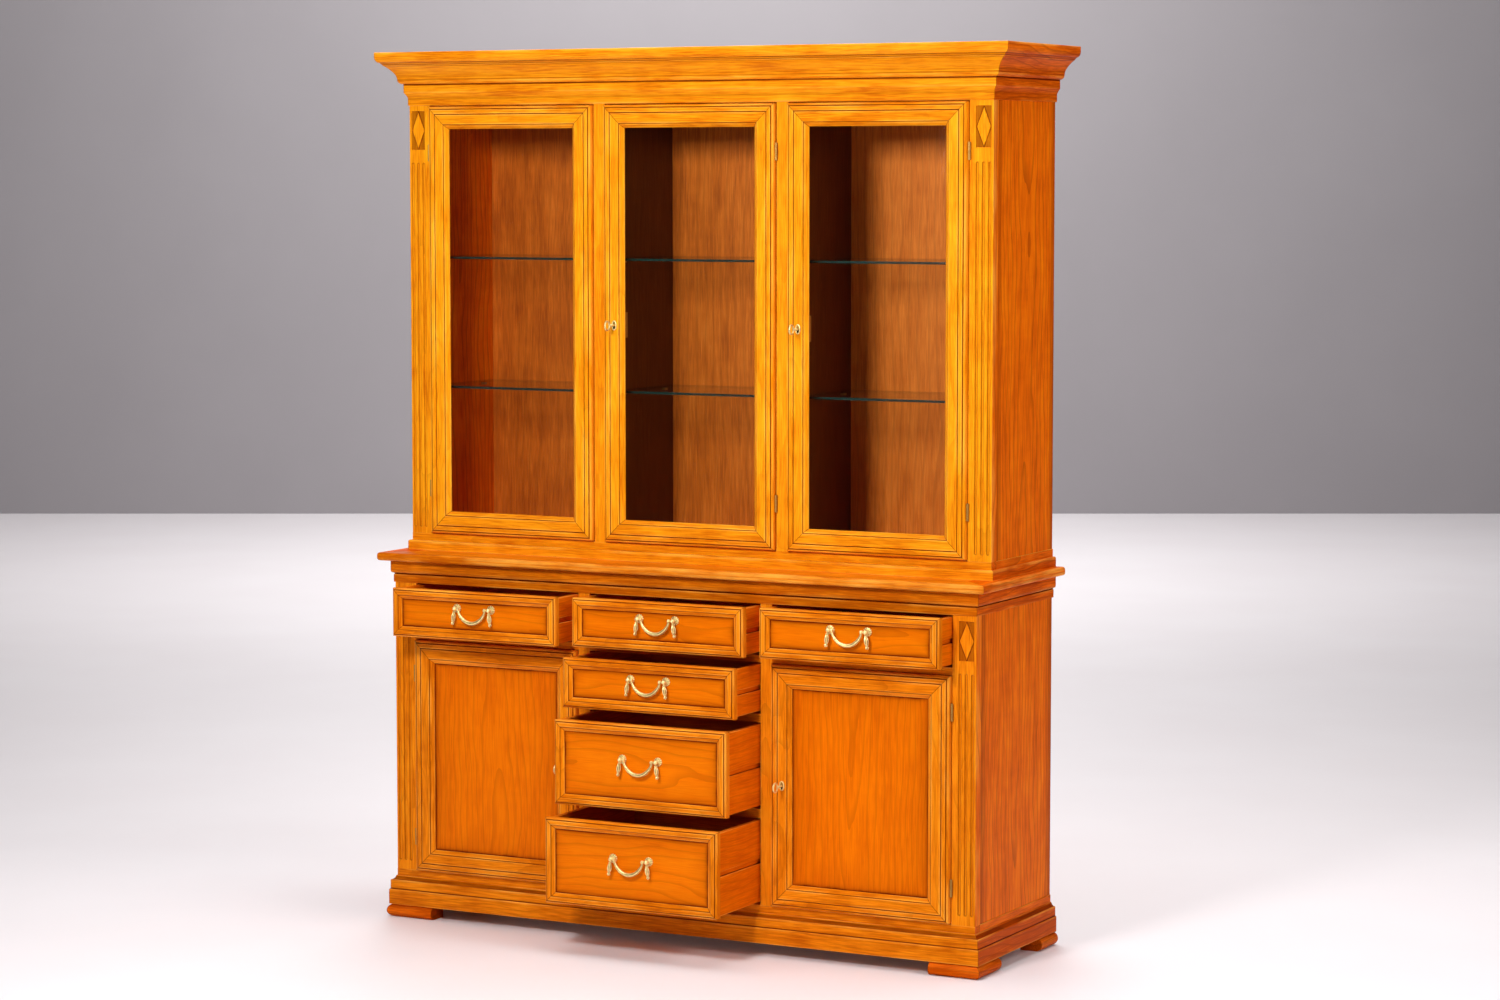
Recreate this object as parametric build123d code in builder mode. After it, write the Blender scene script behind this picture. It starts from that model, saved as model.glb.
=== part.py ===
"""China cabinet: a three-door glazed top on a base with six drawers and two cupboards.

Millimetres, +Z up.  X runs along the width with 0 at the middle, the front faces -Y, and the floor
is Z = 0.  Depths are given as distances forward from the back of the cabinet, and at() turns them
into Y.
"""
from build123d import *
from math import cos, radians, sin
import os

# ---------------------------------------------------------------- driving sizes
HALF_WIDTH = 773.0           # half the width of both carcases
LOWER_DEPTH = 431.0          # back of the cabinet to the face of the base
UPPER_DEPTH = 352.0          # back of the cabinet to the face of the glazed top
COLUMN_PITCH = 486.0         # from the middle of one door to the middle of the next
OPENING_HALF = 228.0         # half the width of each opening in the face frames
FRAME_THICK = 28.0           # depth of stiles, rails and pilasters
BOARD = 18.0                 # partitions, floors and dividers
SIDE_BOARD = 20.0
SIDE_INSET = 2.0             # side panels sit this far inside the corner posts
BACK_GAP = 2.0
BACK_THICK = 8.0

# heights
FOOT_TOP = 31.0
BASE_TOP = 101.0
LOWER_RAIL_TOP = 118.0
DRAWER_LEVELS = {            # bottom and top of each drawer opening
    "top": (702.5, 822.0),
    "second": (565.0, 685.5),
    "third": (343.5, 545.0),
    "fourth": (118.0, 321.5),
}
FRIEZE_BOTTOM = 822.0
COUNTER_UNDER = 875.0
COUNTER_TOP = 895.0
PLINTH_TOP = 918.0
UPPER_RAIL_TOP = 936.0
UPPER_OPENING_TOP = 1972.0
CORNICE_BOTTOM = 1973.0
CARCASE_TOP = 2084.0
CABINET_TOP = 2100.0
CUPBOARD_SHELF_Z = 395.0
GLASS_SHELF_TOPS = (1295.0, 1609.0)

# how far mouldings stand out of the carcase
CORNICE_REACH = 61.0
COUNTER_REACH = 31.5
COUNTER_ROUND = 8.0
FOOT_REACH = 20.0
FOOT_WIDTH = 55.0
FOOT_FRONT_LENGTH = 128.0
FRONT_FOOT_SIDE_LENGTH = 125.0
BACK_FOOT_SIDE_LENGTH = 95.0

# doors and drawer fronts stand proud of the face frame by PROUD
PROUD = 15.0
FIT = 1.5                    # gap between a front and its opening
DOOR_THICK = 22.0
MEMBER = 54.0                # width of a door's stiles and rails
REBATE = 7.0                 # how far glass or panel reaches under the member
GLASS_SEAT = 8.0             # height of the glass rebate from the door's back
PANEL_SEAT = 11.5
GLASS_THICK = 4.0
PANEL_THICK = 9.0
GLASS_SHELF_THICK = 6.0
FRONT_THICK = 20.0
FRONT_MEMBER = 25.0
FRONT_SEAT = 12.0
FRONT_REBATE = 5.0

# drawers
DRAWER_SIDE = 12.0
DRAWER_BOTTOM = 6.0
BOX_BELOW_FRONT_TOP = 3.0
BOX_ABOVE_FRONT_BOTTOM = 6.0
BOX_REAR = 30.0              # closed drawer's rear, forward of the cabinet's back
GROOVE_HEIGHT = 12.0
GROOVE_DEPTH = 5.5
RUNNER_PLAY = 0.5
DRAWERS = {                  # level, column, and how far it stands pulled out at rest
    "top_left": ("top", -1, 93.0),
    "top_middle": ("top", 0, 73.0),
    "top_right": ("top", 1, 56.0),
    "second": ("second", 0, 116.0),
    "third": ("third", 0, 155.0),
    "fourth": ("fourth", 0, 199.0),
}

# swag pulls
BOSS_SPACING = 94.0
BOSS_ABOVE_MIDDLE = 18.0
ROSETTE_RADIUS = 10.5
ROSETTE_THICK = 3.5
NECK_RADIUS = 3.2
BALL_RADIUS = 5.0
PIVOT_OUT = 13.0             # pivot line in front of the recessed panel
PIVOT_RADIUS = 1.5
PIVOT_BORE = 1.55
EYE_RADIUS = 4.0
EYE_LENGTH = 6.0
EYE_INNER = 34.0             # inner end of each eye from the pull's middle
SWAG_DROP = 33.0
SWAG_RADIUS = 3.6
TASSEL_TILT = 8.0
TASSEL_LENGTH = 36.0

# hinges: barrel beside the door's edge, in front of the face frame
BARREL_RADIUS = 3.0
BARREL_LENGTH = 40.0
BARREL_ASIDE = 2.6
BARREL_AHEAD = 4.0
BARREL_RELIEF = 3.4
LEAF_THICK = 1.2
LEAF_DEPTH = 14.0
HINGE_PIN_RADIUS = 1.2
HINGE_PIN_BORE = 1.25
SEGMENT_GAP = 0.3

# locks
KEYHOLE_IN = 32.0            # from the door's edge
LOCK_WIDTH = 45.0
LOCK_HEIGHT = 60.0
LOCK_THICK = 17.0
KEY_RADIUS = 2.5
KEY_BORE = 3.2
BIT_CAVITY = 8.0
BIT_REACH = 6.5
BIT_WIDTH = 3.0
BIT_LENGTH = 6.0
BOW_OUT = 22.0               # from the door's face to the near end of the bow
BOW_LENGTH = 24.0
BOW_HEIGHT = 25.0
BOW_WIRE = 4.0
BOLT_HEIGHT = 10.0
BOLT_THICK = 6.0
BOLT_LENGTH = 24.0
BOLT_TRAVEL = 10.0
BOLT_ABOVE_KEY = 18.0
BOLT_PLAY = 0.4
ESCUTCHEON_WIDTH = 13.0
ESCUTCHEON_HEIGHT = 23.0
ESCUTCHEON_THICK = 1.5
UPPER_LOCK_Z = 1452.5
LOWER_LOCK_Z = 404.5

PANEL_FROM_FACE = FRONT_THICK - FRONT_SEAT
DEEPEST_DRAWER = DRAWERS["fourth"][2]
FULL_DEPTH = LOWER_DEPTH + PROUD + DEEPEST_DRAWER - PANEL_FROM_FACE + PIVOT_OUT + BALL_RADIUS
Y_BACK = FULL_DEPTH / 2

FORWARD = Vector(0, -1, 0)
UP = Vector(0, 0, 1)
OUTER_HALF = COLUMN_PITCH + OPENING_HALF       # outer edge of the outer openings
STILE_IN = OPENING_HALF
STILE_OUT = COLUMN_PITCH - OPENING_HALF
DIVIDER_MIDDLE = COLUMN_PITCH / 2
SIDE_OUT = HALF_WIDTH - SIDE_INSET
SIDE_IN = SIDE_OUT - SIDE_BOARD
INSIDE_BACK = BACK_GAP + BACK_THICK

# column, hinge side, height range, case depth, hinge heights, lock height
DOORS = {
    "glass_left": (-1, -1, (938.0, 1970.0), UPPER_DEPTH, (1047.0, 1859.0), None),
    "glass_middle": (0, 1, (938.0, 1970.0), UPPER_DEPTH, (1047.0, 1859.0), UPPER_LOCK_Z),
    "glass_right": (1, 1, (938.0, 1970.0), UPPER_DEPTH, (1047.0, 1859.0), UPPER_LOCK_Z),
    "cupboard_left": (-1, -1, (119.5, 684.0), LOWER_DEPTH, (201.5, 602.0), LOWER_LOCK_Z),
    "cupboard_right": (1, 1, (119.5, 684.0), LOWER_DEPTH, (201.5, 602.0), LOWER_LOCK_Z),
}


def at(depth):
    """Y of a point this far forward of the cabinet's back."""
    return Y_BACK - depth


def save(name, solids):
    """Write one node: its solids stay separate pieces."""
    node = Compound(label=name, children=[solid for part in solids for solid in part.solids()])
    export_step(node, f"parts/{name}.step")


def board(x_range, depths, heights):
    """A plain board between two widths, two depths and two heights."""
    with BuildPart() as piece:
        with BuildSketch(Plane.XY.offset(heights[0])):
            with Locations((sum(x_range) / 2, at(sum(depths) / 2))):
                Rectangle(x_range[1] - x_range[0], depths[1] - depths[0])
        extrude(amount=heights[1] - heights[0])
    return piece.part


def pair(x_range, depths, heights):
    """The same board on the right and, mirrored, on the left."""
    right = board(x_range, depths, heights)
    left = board((-x_range[1], -x_range[0]), depths, heights)
    return [right, left]


def strip(section, middle, length, out, up, ends):
    """A moulded length: a section of (outward, upward) points carried along a straight run.

    ends says how each end is cut: 1 grows with the outward distance, -1 shrinks with it, 0 is square.
    """
    box = section.bounding_box()
    low, high = box.min.X, box.max.X
    run = out.cross(up)
    half = length / 2
    with BuildPart() as piece:
        with BuildSketch(Plane(origin=middle, x_dir=out, z_dir=run)):
            add(section)
        extrude(amount=half + high, both=True)
        with BuildSketch(Plane(origin=middle, x_dir=run, z_dir=up).offset(box.min.Y)):
            with BuildLine():
                Polyline(
                    (-half - ends[0] * low, low),
                    (half + ends[1] * low, low),
                    (half + ends[1] * high, high),
                    (-half - ends[0] * high, high),
                    close=True,
                )
            make_face()
        extrude(amount=box.max.Y - box.min.Y, mode=Mode.INTERSECT)
    return piece.part


def wrap(section, depth, height):
    """A moulding across the front and along both sides, mitred at the front corners."""
    front = strip(section, (0, at(depth), height), 2 * HALF_WIDTH, FORWARD, UP, (1, 1))
    right = strip(section, (HALF_WIDTH, at(depth / 2), height), depth, Vector(1, 0, 0), UP, (0, 1))
    left = strip(section, (-HALF_WIDTH, at(depth / 2), height), depth, Vector(-1, 0, 0), UP, (1, 0))
    return [front, right, left]


def frame(section, middle, width, height, back_depth):
    """Four mitred members round a rectangle; the section runs inward from the outer edge."""
    x, z = middle
    y = at(back_depth)
    return [
        strip(section, (x, y, z - height / 2), width, UP, FORWARD, (-1, -1)),
        strip(section, (x, y, z + height / 2), width, -UP, FORWARD, (-1, -1)),
        strip(section, (x - width / 2, y, z), height, Vector(1, 0, 0), FORWARD, (-1, -1)),
        strip(section, (x + width / 2, y, z), height, Vector(-1, 0, 0), FORWARD, (-1, -1)),
    ]


def cut(part, *tools):
    """A part less each of the tools."""
    with BuildPart() as piece:
        add(part)
        for tool in tools:
            add(tool, mode=Mode.SUBTRACT)
    return piece.part


def rod(start, direction, radius, length):
    """A round bar from a point along a direction."""
    with BuildPart() as piece:
        with BuildSketch(Plane(origin=start, z_dir=direction)):
            Circle(radius)
        extrude(amount=length)
    return piece.part


# ---------------------------------------------------------------- sections
def cornice_section():
    """Fascia, small cove, frieze band, bead, large cove and ovolo under the top edge."""
    with BuildSketch() as sketch:
        with BuildLine():
            Polyline((0, 127), (0, 0), (2.5, 0), (2.5, 17))
            ThreePointArc((2.5, 17), (4.8, 24.5), (10, 31))
            Polyline((10, 31), (10, 51), (14, 52))
            ThreePointArc((14, 52), (19.5, 56), (21, 62))
            Line((21, 62), (21.5, 65))
            ThreePointArc((21.5, 65), (28, 82), (43, 94))
            Polyline((43, 94), (46, 96), (51.5, 102))
            ThreePointArc((51.5, 102), (58.5, 108), (CORNICE_REACH, 116))
            Polyline((CORNICE_REACH, 116), (CORNICE_REACH, 127), (0, 127))
        make_face()
    return sketch.sketch


def frieze_section():
    """A flat lower band, a quirk and a wider band under the worktop."""
    with BuildSketch() as sketch:
        with BuildLine():
            Polyline((0, 0), (2.5, 0), (2.5, 18), (1.2, 20), (2.5, 22))
            ThreePointArc((2.5, 22), (6.4, 24.5), (8, 28))
            Polyline((8, 28), (8, 53), (0, 53), (0, 0))
        make_face()
    return sketch.sketch


def plinth_section():
    """The step on which the glazed top stands, rounded along its upper edge."""
    with BuildSketch() as sketch:
        with BuildLine():
            Polyline((0, 23), (0, 0), (8, 0), (8, 18))
            ThreePointArc((8, 18), (6.5, 21.5), (3, 23))
            Line((3, 23), (0, 23))
        make_face()
    return sketch.sketch


def base_section():
    """Two bands and a cove at the foot of the base."""
    with BuildSketch() as sketch:
        with BuildLine():
            Polyline((0, 70), (0, 0), (15.5, 0), (15.5, 35.5), (13.5, 37), (12.5, 38.5), (12.5, 59))
            ThreePointArc((12.5, 59), (5.5, 62.5), (2, 70))
            Line((2, 70), (0, 70))
        make_face()
    return sketch.sketch


def foot_section():
    """A block with a half-round nose."""
    nose = FOOT_TOP / 2
    with BuildSketch() as sketch:
        with BuildLine():
            Polyline(
                (FOOT_REACH - nose, FOOT_TOP),
                (FOOT_REACH - FOOT_WIDTH, FOOT_TOP),
                (FOOT_REACH - FOOT_WIDTH, 0),
                (FOOT_REACH - nose, 0),
            )
            ThreePointArc((FOOT_REACH - nose, 0), (FOOT_REACH, nose), (FOOT_REACH - nose, FOOT_TOP))
        make_face()
    return sketch.sketch


def door_section(seat):
    """A door member: thumbnail edge, band, quirk, flat face, bevel and a rebate of height seat."""
    face = DOOR_THICK
    with BuildSketch() as sketch:
        with BuildLine():
            Polyline((0, 0), (0, face - 9))
            ThreePointArc((0, face - 9), (2, face - 4), (7, face - 2))
            Polyline(
                (7, face - 2),
                (8, face - 2),
                (8, face),
                (17.5, face),
                (19, face - 2),
                (20.5, face),
                (43.5, face),
                (43.5, face - 1.5),
                (MEMBER, seat + 2.5),
                (MEMBER, seat),
                (MEMBER - REBATE, seat),
                (MEMBER - REBATE, 0),
                (0, 0),
            )
        make_face()
    return sketch.sketch


def front_section():
    """A drawer front's member: thumbnail edge, flat face, bevel and panel rebate."""
    face = FRONT_THICK
    with BuildSketch() as sketch:
        with BuildLine():
            Polyline((0, 0), (0, face - 7))
            ThreePointArc((0, face - 7), (1.5, face - 3.5), (5, face - 2))
            Polyline(
                (5, face - 2),
                (6, face - 2),
                (6, face),
                (16, face),
                (16, face - 1.2),
                (FRONT_MEMBER, FRONT_SEAT + 1),
                (FRONT_MEMBER, FRONT_SEAT),
                (FRONT_MEMBER - FRONT_REBATE, FRONT_SEAT),
                (FRONT_MEMBER - FRONT_REBATE, 0),
                (0, 0),
            )
        make_face()
    return sketch.sketch


# ---------------------------------------------------------------- carcase pieces
PILASTER_MIDDLE = 748.5
FLUTE_PITCH = 15.3
FLUTE_WIDTH = 7.0
FLUTE_DEPTH = 2.6
LOZENGE_WIDTH = 38.0
LOZENGE_DEPTH = 2.5
UPPER_FLUTES = (951.0, 1835.0)
UPPER_LOZENGE = (1866.5, 1960.0)
LOWER_FLUTES = (140.0, 690.0)
LOWER_LOZENGE = (719.0, 809.0)


def pilaster(side, heights, depth, flutes, lozenge):
    """A corner post with three stopped flutes and a raised lozenge in a sunk rectangle."""
    face = Plane(origin=(side * PILASTER_MIDDLE, at(depth), 0), x_dir=(1, 0, 0), z_dir=FORWARD)
    post = board(
        tuple(sorted((side * OUTER_HALF, side * HALF_WIDTH))), (depth - FRAME_THICK, depth), heights
    )
    with BuildPart() as piece:
        add(post)
        with BuildSketch(face):
            for place in (-1, 0, 1):
                with Locations((place * FLUTE_PITCH, sum(flutes) / 2)):
                    SlotOverall(flutes[1] - flutes[0], FLUTE_WIDTH, rotation=90)
        extrude(amount=-FLUTE_DEPTH, taper=30, mode=Mode.SUBTRACT)
        with BuildSketch(face):
            with Locations((0, sum(lozenge) / 2)):
                Rectangle(LOZENGE_WIDTH, lozenge[1] - lozenge[0])
            with BuildLine():
                Polyline(
                    (-LOZENGE_WIDTH / 2 + 1, sum(lozenge) / 2),
                    (0, lozenge[0] + 1),
                    (LOZENGE_WIDTH / 2 - 1, sum(lozenge) / 2),
                    (0, lozenge[1] - 1),
                    close=True,
                )
            make_face(mode=Mode.SUBTRACT)
        extrude(amount=-LOZENGE_DEPTH, mode=Mode.SUBTRACT)
    return piece.part


def hinge_place(column, side, depth):
    """X and depth of a door's hinge line."""
    edge = column * COLUMN_PITCH + side * (OPENING_HALF - FIT)
    return edge, edge + side * BARREL_ASIDE, depth + BARREL_AHEAD


def span(a, b):
    """Two values in rising order."""
    return (min(a, b), max(a, b))


def case_leaf_box(door, height):
    """The space of a hinge's fixed leaf, let into the stile beside the door."""
    column, side, _, depth, _, _ = door
    edge, _, ahead = hinge_place(column, side, depth)
    inner = edge + side * FIT
    z_range = (height - BARREL_LENGTH / 2, height + BARREL_LENGTH / 2)
    return board(span(inner, inner + side * LEAF_THICK), (depth - LEAF_DEPTH, depth), z_range)


def bolt_place(door):
    """X of the bolt's leading end at rest, its direction, and its middle depth and height."""
    column, side, _, depth, _, lock_z = door
    edge = column * COLUMN_PITCH - side * (OPENING_HALF - FIT)
    return edge + side * 1.0, -side, depth + PROUD - DOOR_THICK - LOCK_THICK / 2, lock_z + BOLT_ABOVE_KEY


def bolt_pocket(door):
    """The mortise in a stile that takes the shot bolt."""
    lead, way, depth, z = bolt_place(door)
    far = lead + way * (BOLT_TRAVEL + 2.5)
    start = lead + way * 2.5 - way * 0.5
    return board(
        span(start, far),
        (depth - BOLT_THICK / 2 - 1, depth + BOLT_THICK / 2 + 1),
        (z - BOLT_HEIGHT / 2 - 1, z + BOLT_HEIGHT / 2 + 1),
    )


def stile_cuts(names):
    """Everything that doors cut out of the stiles and pilasters beside them."""
    tools = []
    for name in names:
        door = DOORS[name]
        tools += [case_leaf_box(door, height) for height in door[4]]
        if door[5]:
            tools.append(bolt_pocket(door))
    return tools


UPPER_DOORS = ("glass_left", "glass_middle", "glass_right")
LOWER_DOORS = ("cupboard_left", "cupboard_right")


def mid_stiles(depth, heights, names):
    """The two stiles between the columns, with hinge and bolt mortises."""
    posts = pair((STILE_IN, STILE_OUT), (depth - FRAME_THICK, depth), heights)
    return [cut(post, *stile_cuts(names)) for post in posts]


def build_upper_carcase():
    """Everything fixed above the worktop."""
    depth = UPPER_DEPTH
    frame_back = depth - FRAME_THICK
    insides = (INSIDE_BACK, frame_back)
    divider = (DIVIDER_MIDDLE - BOARD / 2, DIVIDER_MIDDLE + BOARD / 2)
    rails_in = HALF_WIDTH - SIDE_BOARD
    save("upper_uprights", [
        *pair((SIDE_IN, SIDE_OUT), (0, frame_back), (UPPER_RAIL_TOP, CORNICE_BOTTOM)),
        *pair(divider, insides, (UPPER_RAIL_TOP, CARCASE_TOP - BOARD)),
    ])
    posts = [
        pilaster(side, (UPPER_RAIL_TOP, UPPER_OPENING_TOP), depth, UPPER_FLUTES, UPPER_LOZENGE)
        for side in (-1, 1)
    ]
    save("upper_pilasters", [cut(post, *stile_cuts(UPPER_DOORS)) for post in posts])
    across = (-HALF_WIDTH, HALF_WIDTH)
    save("upper_face_frame", [
        *mid_stiles(depth, (UPPER_RAIL_TOP, UPPER_OPENING_TOP), UPPER_DOORS),
        board(across, (frame_back, depth), (COUNTER_TOP, UPPER_RAIL_TOP)),
        board(across, (frame_back, depth), (UPPER_OPENING_TOP, CARCASE_TOP)),
        *pair((rails_in, HALF_WIDTH), (0, frame_back), (COUNTER_TOP, UPPER_RAIL_TOP)),
        *pair((rails_in, HALF_WIDTH), (0, frame_back), (CORNICE_BOTTOM, CARCASE_TOP)),
    ])
    save("upper_floor_and_roof", [
        board((-rails_in, rails_in), insides, (UPPER_RAIL_TOP - BOARD, UPPER_RAIL_TOP)),
        board((-rails_in, rails_in), insides, (CARCASE_TOP - BOARD, CARCASE_TOP)),
    ])
    save("upper_back", [
        board((-SIDE_IN, SIDE_IN), (BACK_GAP, INSIDE_BACK), (UPPER_RAIL_TOP - BOARD, CARCASE_TOP))
    ])
    save("upper_plinth", wrap(plinth_section(), depth, COUNTER_TOP))
    save("cornice", wrap(cornice_section(), depth, CORNICE_BOTTOM))


PIN_REACH = 9.0
PIN_DEPTH = 14.0
PIN_HEIGHT = 5.0
SHELF_PLAY = 1.0
GLASS_SHELF_FRONT = 312.0


def build_glass_shelves():
    """Two glass shelves in each bay, on four pins each."""
    walls = [
        (-SIDE_IN, -DIVIDER_MIDDLE - BOARD / 2),
        (-DIVIDER_MIDDLE + BOARD / 2, DIVIDER_MIDDLE - BOARD / 2),
        (DIVIDER_MIDDLE + BOARD / 2, SIDE_IN),
    ]
    shelves = []
    pins = []
    for low, high in walls:
        for top in GLASS_SHELF_TOPS:
            under = top - GLASS_SHELF_THICK
            plate = (low + SHELF_PLAY, high - SHELF_PLAY)
            shelves.append(board(plate, (INSIDE_BACK + 2, GLASS_SHELF_FRONT), (under, top)))
            for depth in (60.0, 260.0):
                depths = (depth - PIN_DEPTH / 2, depth + PIN_DEPTH / 2)
                heights = (under - PIN_HEIGHT, under)
                pins.append(board((low, low + PIN_REACH), depths, heights))
                pins.append(board((high - PIN_REACH, high), depths, heights))
    save("glass_shelves", shelves)
    save("shelf_pins", pins)


def build_lower_carcase():
    """Everything fixed from the feet to the worktop."""
    depth = LOWER_DEPTH
    frame_back = depth - FRAME_THICK
    insides = (INSIDE_BACK, frame_back)
    faces = (frame_back, depth)
    divider = (DIVIDER_MIDDLE - BOARD / 2, DIVIDER_MIDDLE + BOARD / 2)
    rails_in = HALF_WIDTH - SIDE_BOARD
    rail_a = (DRAWER_LEVELS["second"][1], DRAWER_LEVELS["top"][0])
    rail_b = (DRAWER_LEVELS["third"][1], DRAWER_LEVELS["second"][0])
    rail_c = (DRAWER_LEVELS["fourth"][1], DRAWER_LEVELS["third"][0])
    save("lower_uprights", [
        *pair((SIDE_IN, SIDE_OUT), (0, frame_back), (LOWER_RAIL_TOP, FRIEZE_BOTTOM)),
        *pair(divider, insides, (LOWER_RAIL_TOP, COUNTER_UNDER)),
    ])
    posts = [
        pilaster(side, (LOWER_RAIL_TOP, FRIEZE_BOTTOM), depth, LOWER_FLUTES, LOWER_LOZENGE)
        for side in (-1, 1)
    ]
    save("lower_pilasters", [cut(post, *stile_cuts(LOWER_DOORS)) for post in posts])
    across = (-HALF_WIDTH, HALF_WIDTH)
    save("lower_face_frame", [
        *mid_stiles(depth, (LOWER_RAIL_TOP, FRIEZE_BOTTOM), LOWER_DOORS),
        board(across, faces, (FOOT_TOP, LOWER_RAIL_TOP)),
        board(across, faces, (FRIEZE_BOTTOM, COUNTER_UNDER)),
        *pair((STILE_OUT, OUTER_HALF), faces, rail_a),
        *[board((-STILE_IN, STILE_IN), faces, heights) for heights in (rail_a, rail_b, rail_c)],
        *pair((rails_in, HALF_WIDTH), (0, frame_back), (FOOT_TOP, LOWER_RAIL_TOP)),
        *pair((rails_in, HALF_WIDTH), (0, frame_back), (FRIEZE_BOTTOM, COUNTER_UNDER)),
    ])
    cupboard = (divider[1], SIDE_IN)
    save("lower_boards", [
        board((-rails_in, rails_in), insides, (LOWER_RAIL_TOP - BOARD, LOWER_RAIL_TOP)),
        *pair(cupboard, insides, rail_a),
        board((-divider[0], divider[0]), insides, rail_a),
        *pair(
            (cupboard[0] + SHELF_PLAY, cupboard[1] - SHELF_PLAY),
            (INSIDE_BACK, frame_back - 25),
            (CUPBOARD_SHELF_Z, CUPBOARD_SHELF_Z + BOARD),
        ),
    ])
    save("lower_back", [
        board((-SIDE_IN, SIDE_IN), (BACK_GAP, INSIDE_BACK), (LOWER_RAIL_TOP - BOARD, COUNTER_UNDER))
    ])
    save("base_moulding", wrap(base_section(), depth, FOOT_TOP))
    save("frieze_moulding", wrap(frieze_section(), depth, FRIEZE_BOTTOM))


def build_worktop():
    """The worktop, rounded along its front and side edges and square at the back."""
    half = HALF_WIDTH + COUNTER_REACH
    front = LOWER_DEPTH + COUNTER_REACH
    with BuildPart() as piece:
        with BuildSketch(Plane.XY.offset(COUNTER_UNDER)):
            with Locations((0, at(front / 2))):
                Rectangle(2 * half, front)
        extrude(amount=COUNTER_TOP - COUNTER_UNDER)
        rims = piece.edges().filter_by(Plane.XY)
        fillet([edge for edge in rims if edge.center().Y < at(1)], radius=COUNTER_ROUND)
    save("countertop", [piece.part])


def build_feet():
    """Front feet turn the corner with a mitre; back feet run along the side only."""
    section = foot_section()
    front_depth = LOWER_DEPTH
    arm = FOOT_FRONT_LENGTH - FOOT_REACH
    side_arm = FRONT_FOOT_SIDE_LENGTH - FOOT_REACH
    feet = []
    for side in (-1, 1):
        outward = Vector(side, 0, 0)
        mitre = (1, 0) if side < 0 else (0, 1)
        front_middle = (side * (HALF_WIDTH - arm / 2), at(front_depth), 0)
        feet.append(strip(section, front_middle, arm, FORWARD, UP, mitre[::-1]))
        side_middle = (side * HALF_WIDTH, at(front_depth - side_arm / 2), 0)
        feet.append(strip(section, side_middle, side_arm, outward, UP, mitre))
        back_middle = (side * HALF_WIDTH, at(BACK_FOOT_SIDE_LENGTH / 2), 0)
        feet.append(strip(section, back_middle, BACK_FOOT_SIDE_LENGTH, outward, UP, (0, 0)))
    save("feet", feet)


# ---------------------------------------------------------------- drawers
def drawer_sizes(name):
    """Middle X, front's height range and how far it is pulled out."""
    level, column, pulled = DRAWERS[name]
    low, high = DRAWER_LEVELS[level]
    return column * COLUMN_PITCH, (low + FIT, high - FIT), pulled


def box_heights(heights):
    """Height range of the drawer box behind a front."""
    return (heights[0] + BOX_ABOVE_FRONT_BOTTOM, heights[1] - BOX_BELOW_FRONT_TOP)


def build_drawer(name):
    """A framed and panelled front on a box with a runner groove along each side."""
    x, heights, pulled = drawer_sizes(name)
    width = 2 * (OPENING_HALF - FIT)
    back_of_front = LOWER_DEPTH + PROUD + pulled - FRONT_THICK
    height = heights[1] - heights[0]
    middle = (x, sum(heights) / 2)
    members = frame(front_section(), middle, width, height, back_of_front)
    hidden = FRONT_MEMBER - FRONT_REBATE
    panel = board(
        (x - width / 2 + hidden, x + width / 2 - hidden),
        (back_of_front, back_of_front + FRONT_SEAT),
        (heights[0] + hidden, heights[1] - hidden),
    )
    box = box_heights(heights)
    rear = BOX_REAR + pulled
    groove_z = sum(box) / 2
    sides = []
    for side in (-1, 1):
        outer = x + side * (width / 2 - 0.5)
        plank = board(span(outer, outer - side * DRAWER_SIDE), (rear, back_of_front), box)
        groove = board(
            span(outer, outer - side * GROOVE_DEPTH),
            (rear - 1, back_of_front - 10),
            (groove_z - GROOVE_HEIGHT / 2, groove_z + GROOVE_HEIGHT / 2),
        )
        sides.append(cut(plank, groove))
    inner = (x - width / 2 + 0.5 + DRAWER_SIDE, x + width / 2 - 0.5 - DRAWER_SIDE)
    rear_board = board(inner, (rear, rear + DRAWER_SIDE), (box[0] + 10, box[1] - 8))
    bottom = board(inner, (rear + DRAWER_SIDE, back_of_front), (box[0] + 4, box[0] + 4 + DRAWER_BOTTOM))
    save(f"drawer_{name}", [*members, panel, *sides, rear_board, bottom])


def build_runners():
    """A hardwood runner for each drawer side, screwed to the upright beside it."""
    runners = []
    for name in DRAWERS:
        x, heights, _ = drawer_sizes(name)
        z = sum(box_heights(heights)) / 2
        half = GROOVE_HEIGHT / 2 - RUNNER_PLAY
        for side in (-1, 1):
            tip = x + side * (OPENING_HALF - FIT - 0.5 - GROOVE_DEPTH + RUNNER_PLAY)
            outer_column = x != 0 and side * x > 0
            wall = side * SIDE_IN if outer_column else x + side * (DIVIDER_MIDDLE - BOARD / 2)
            depths = (INSIDE_BACK + 10, LOWER_DEPTH - FRAME_THICK - 2)
            runners.append(board(span(tip, wall), depths, (z - half, z + half)))
    save("drawer_runners", runners)


def pull_place(name):
    """Middle X, pivot height and the depth of the panel behind a pull."""
    x, heights, pulled = drawer_sizes(name)
    return x, sum(heights) / 2 + BOSS_ABOVE_MIDDLE, LOWER_DEPTH + PROUD + pulled - PANEL_FROM_FACE


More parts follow.
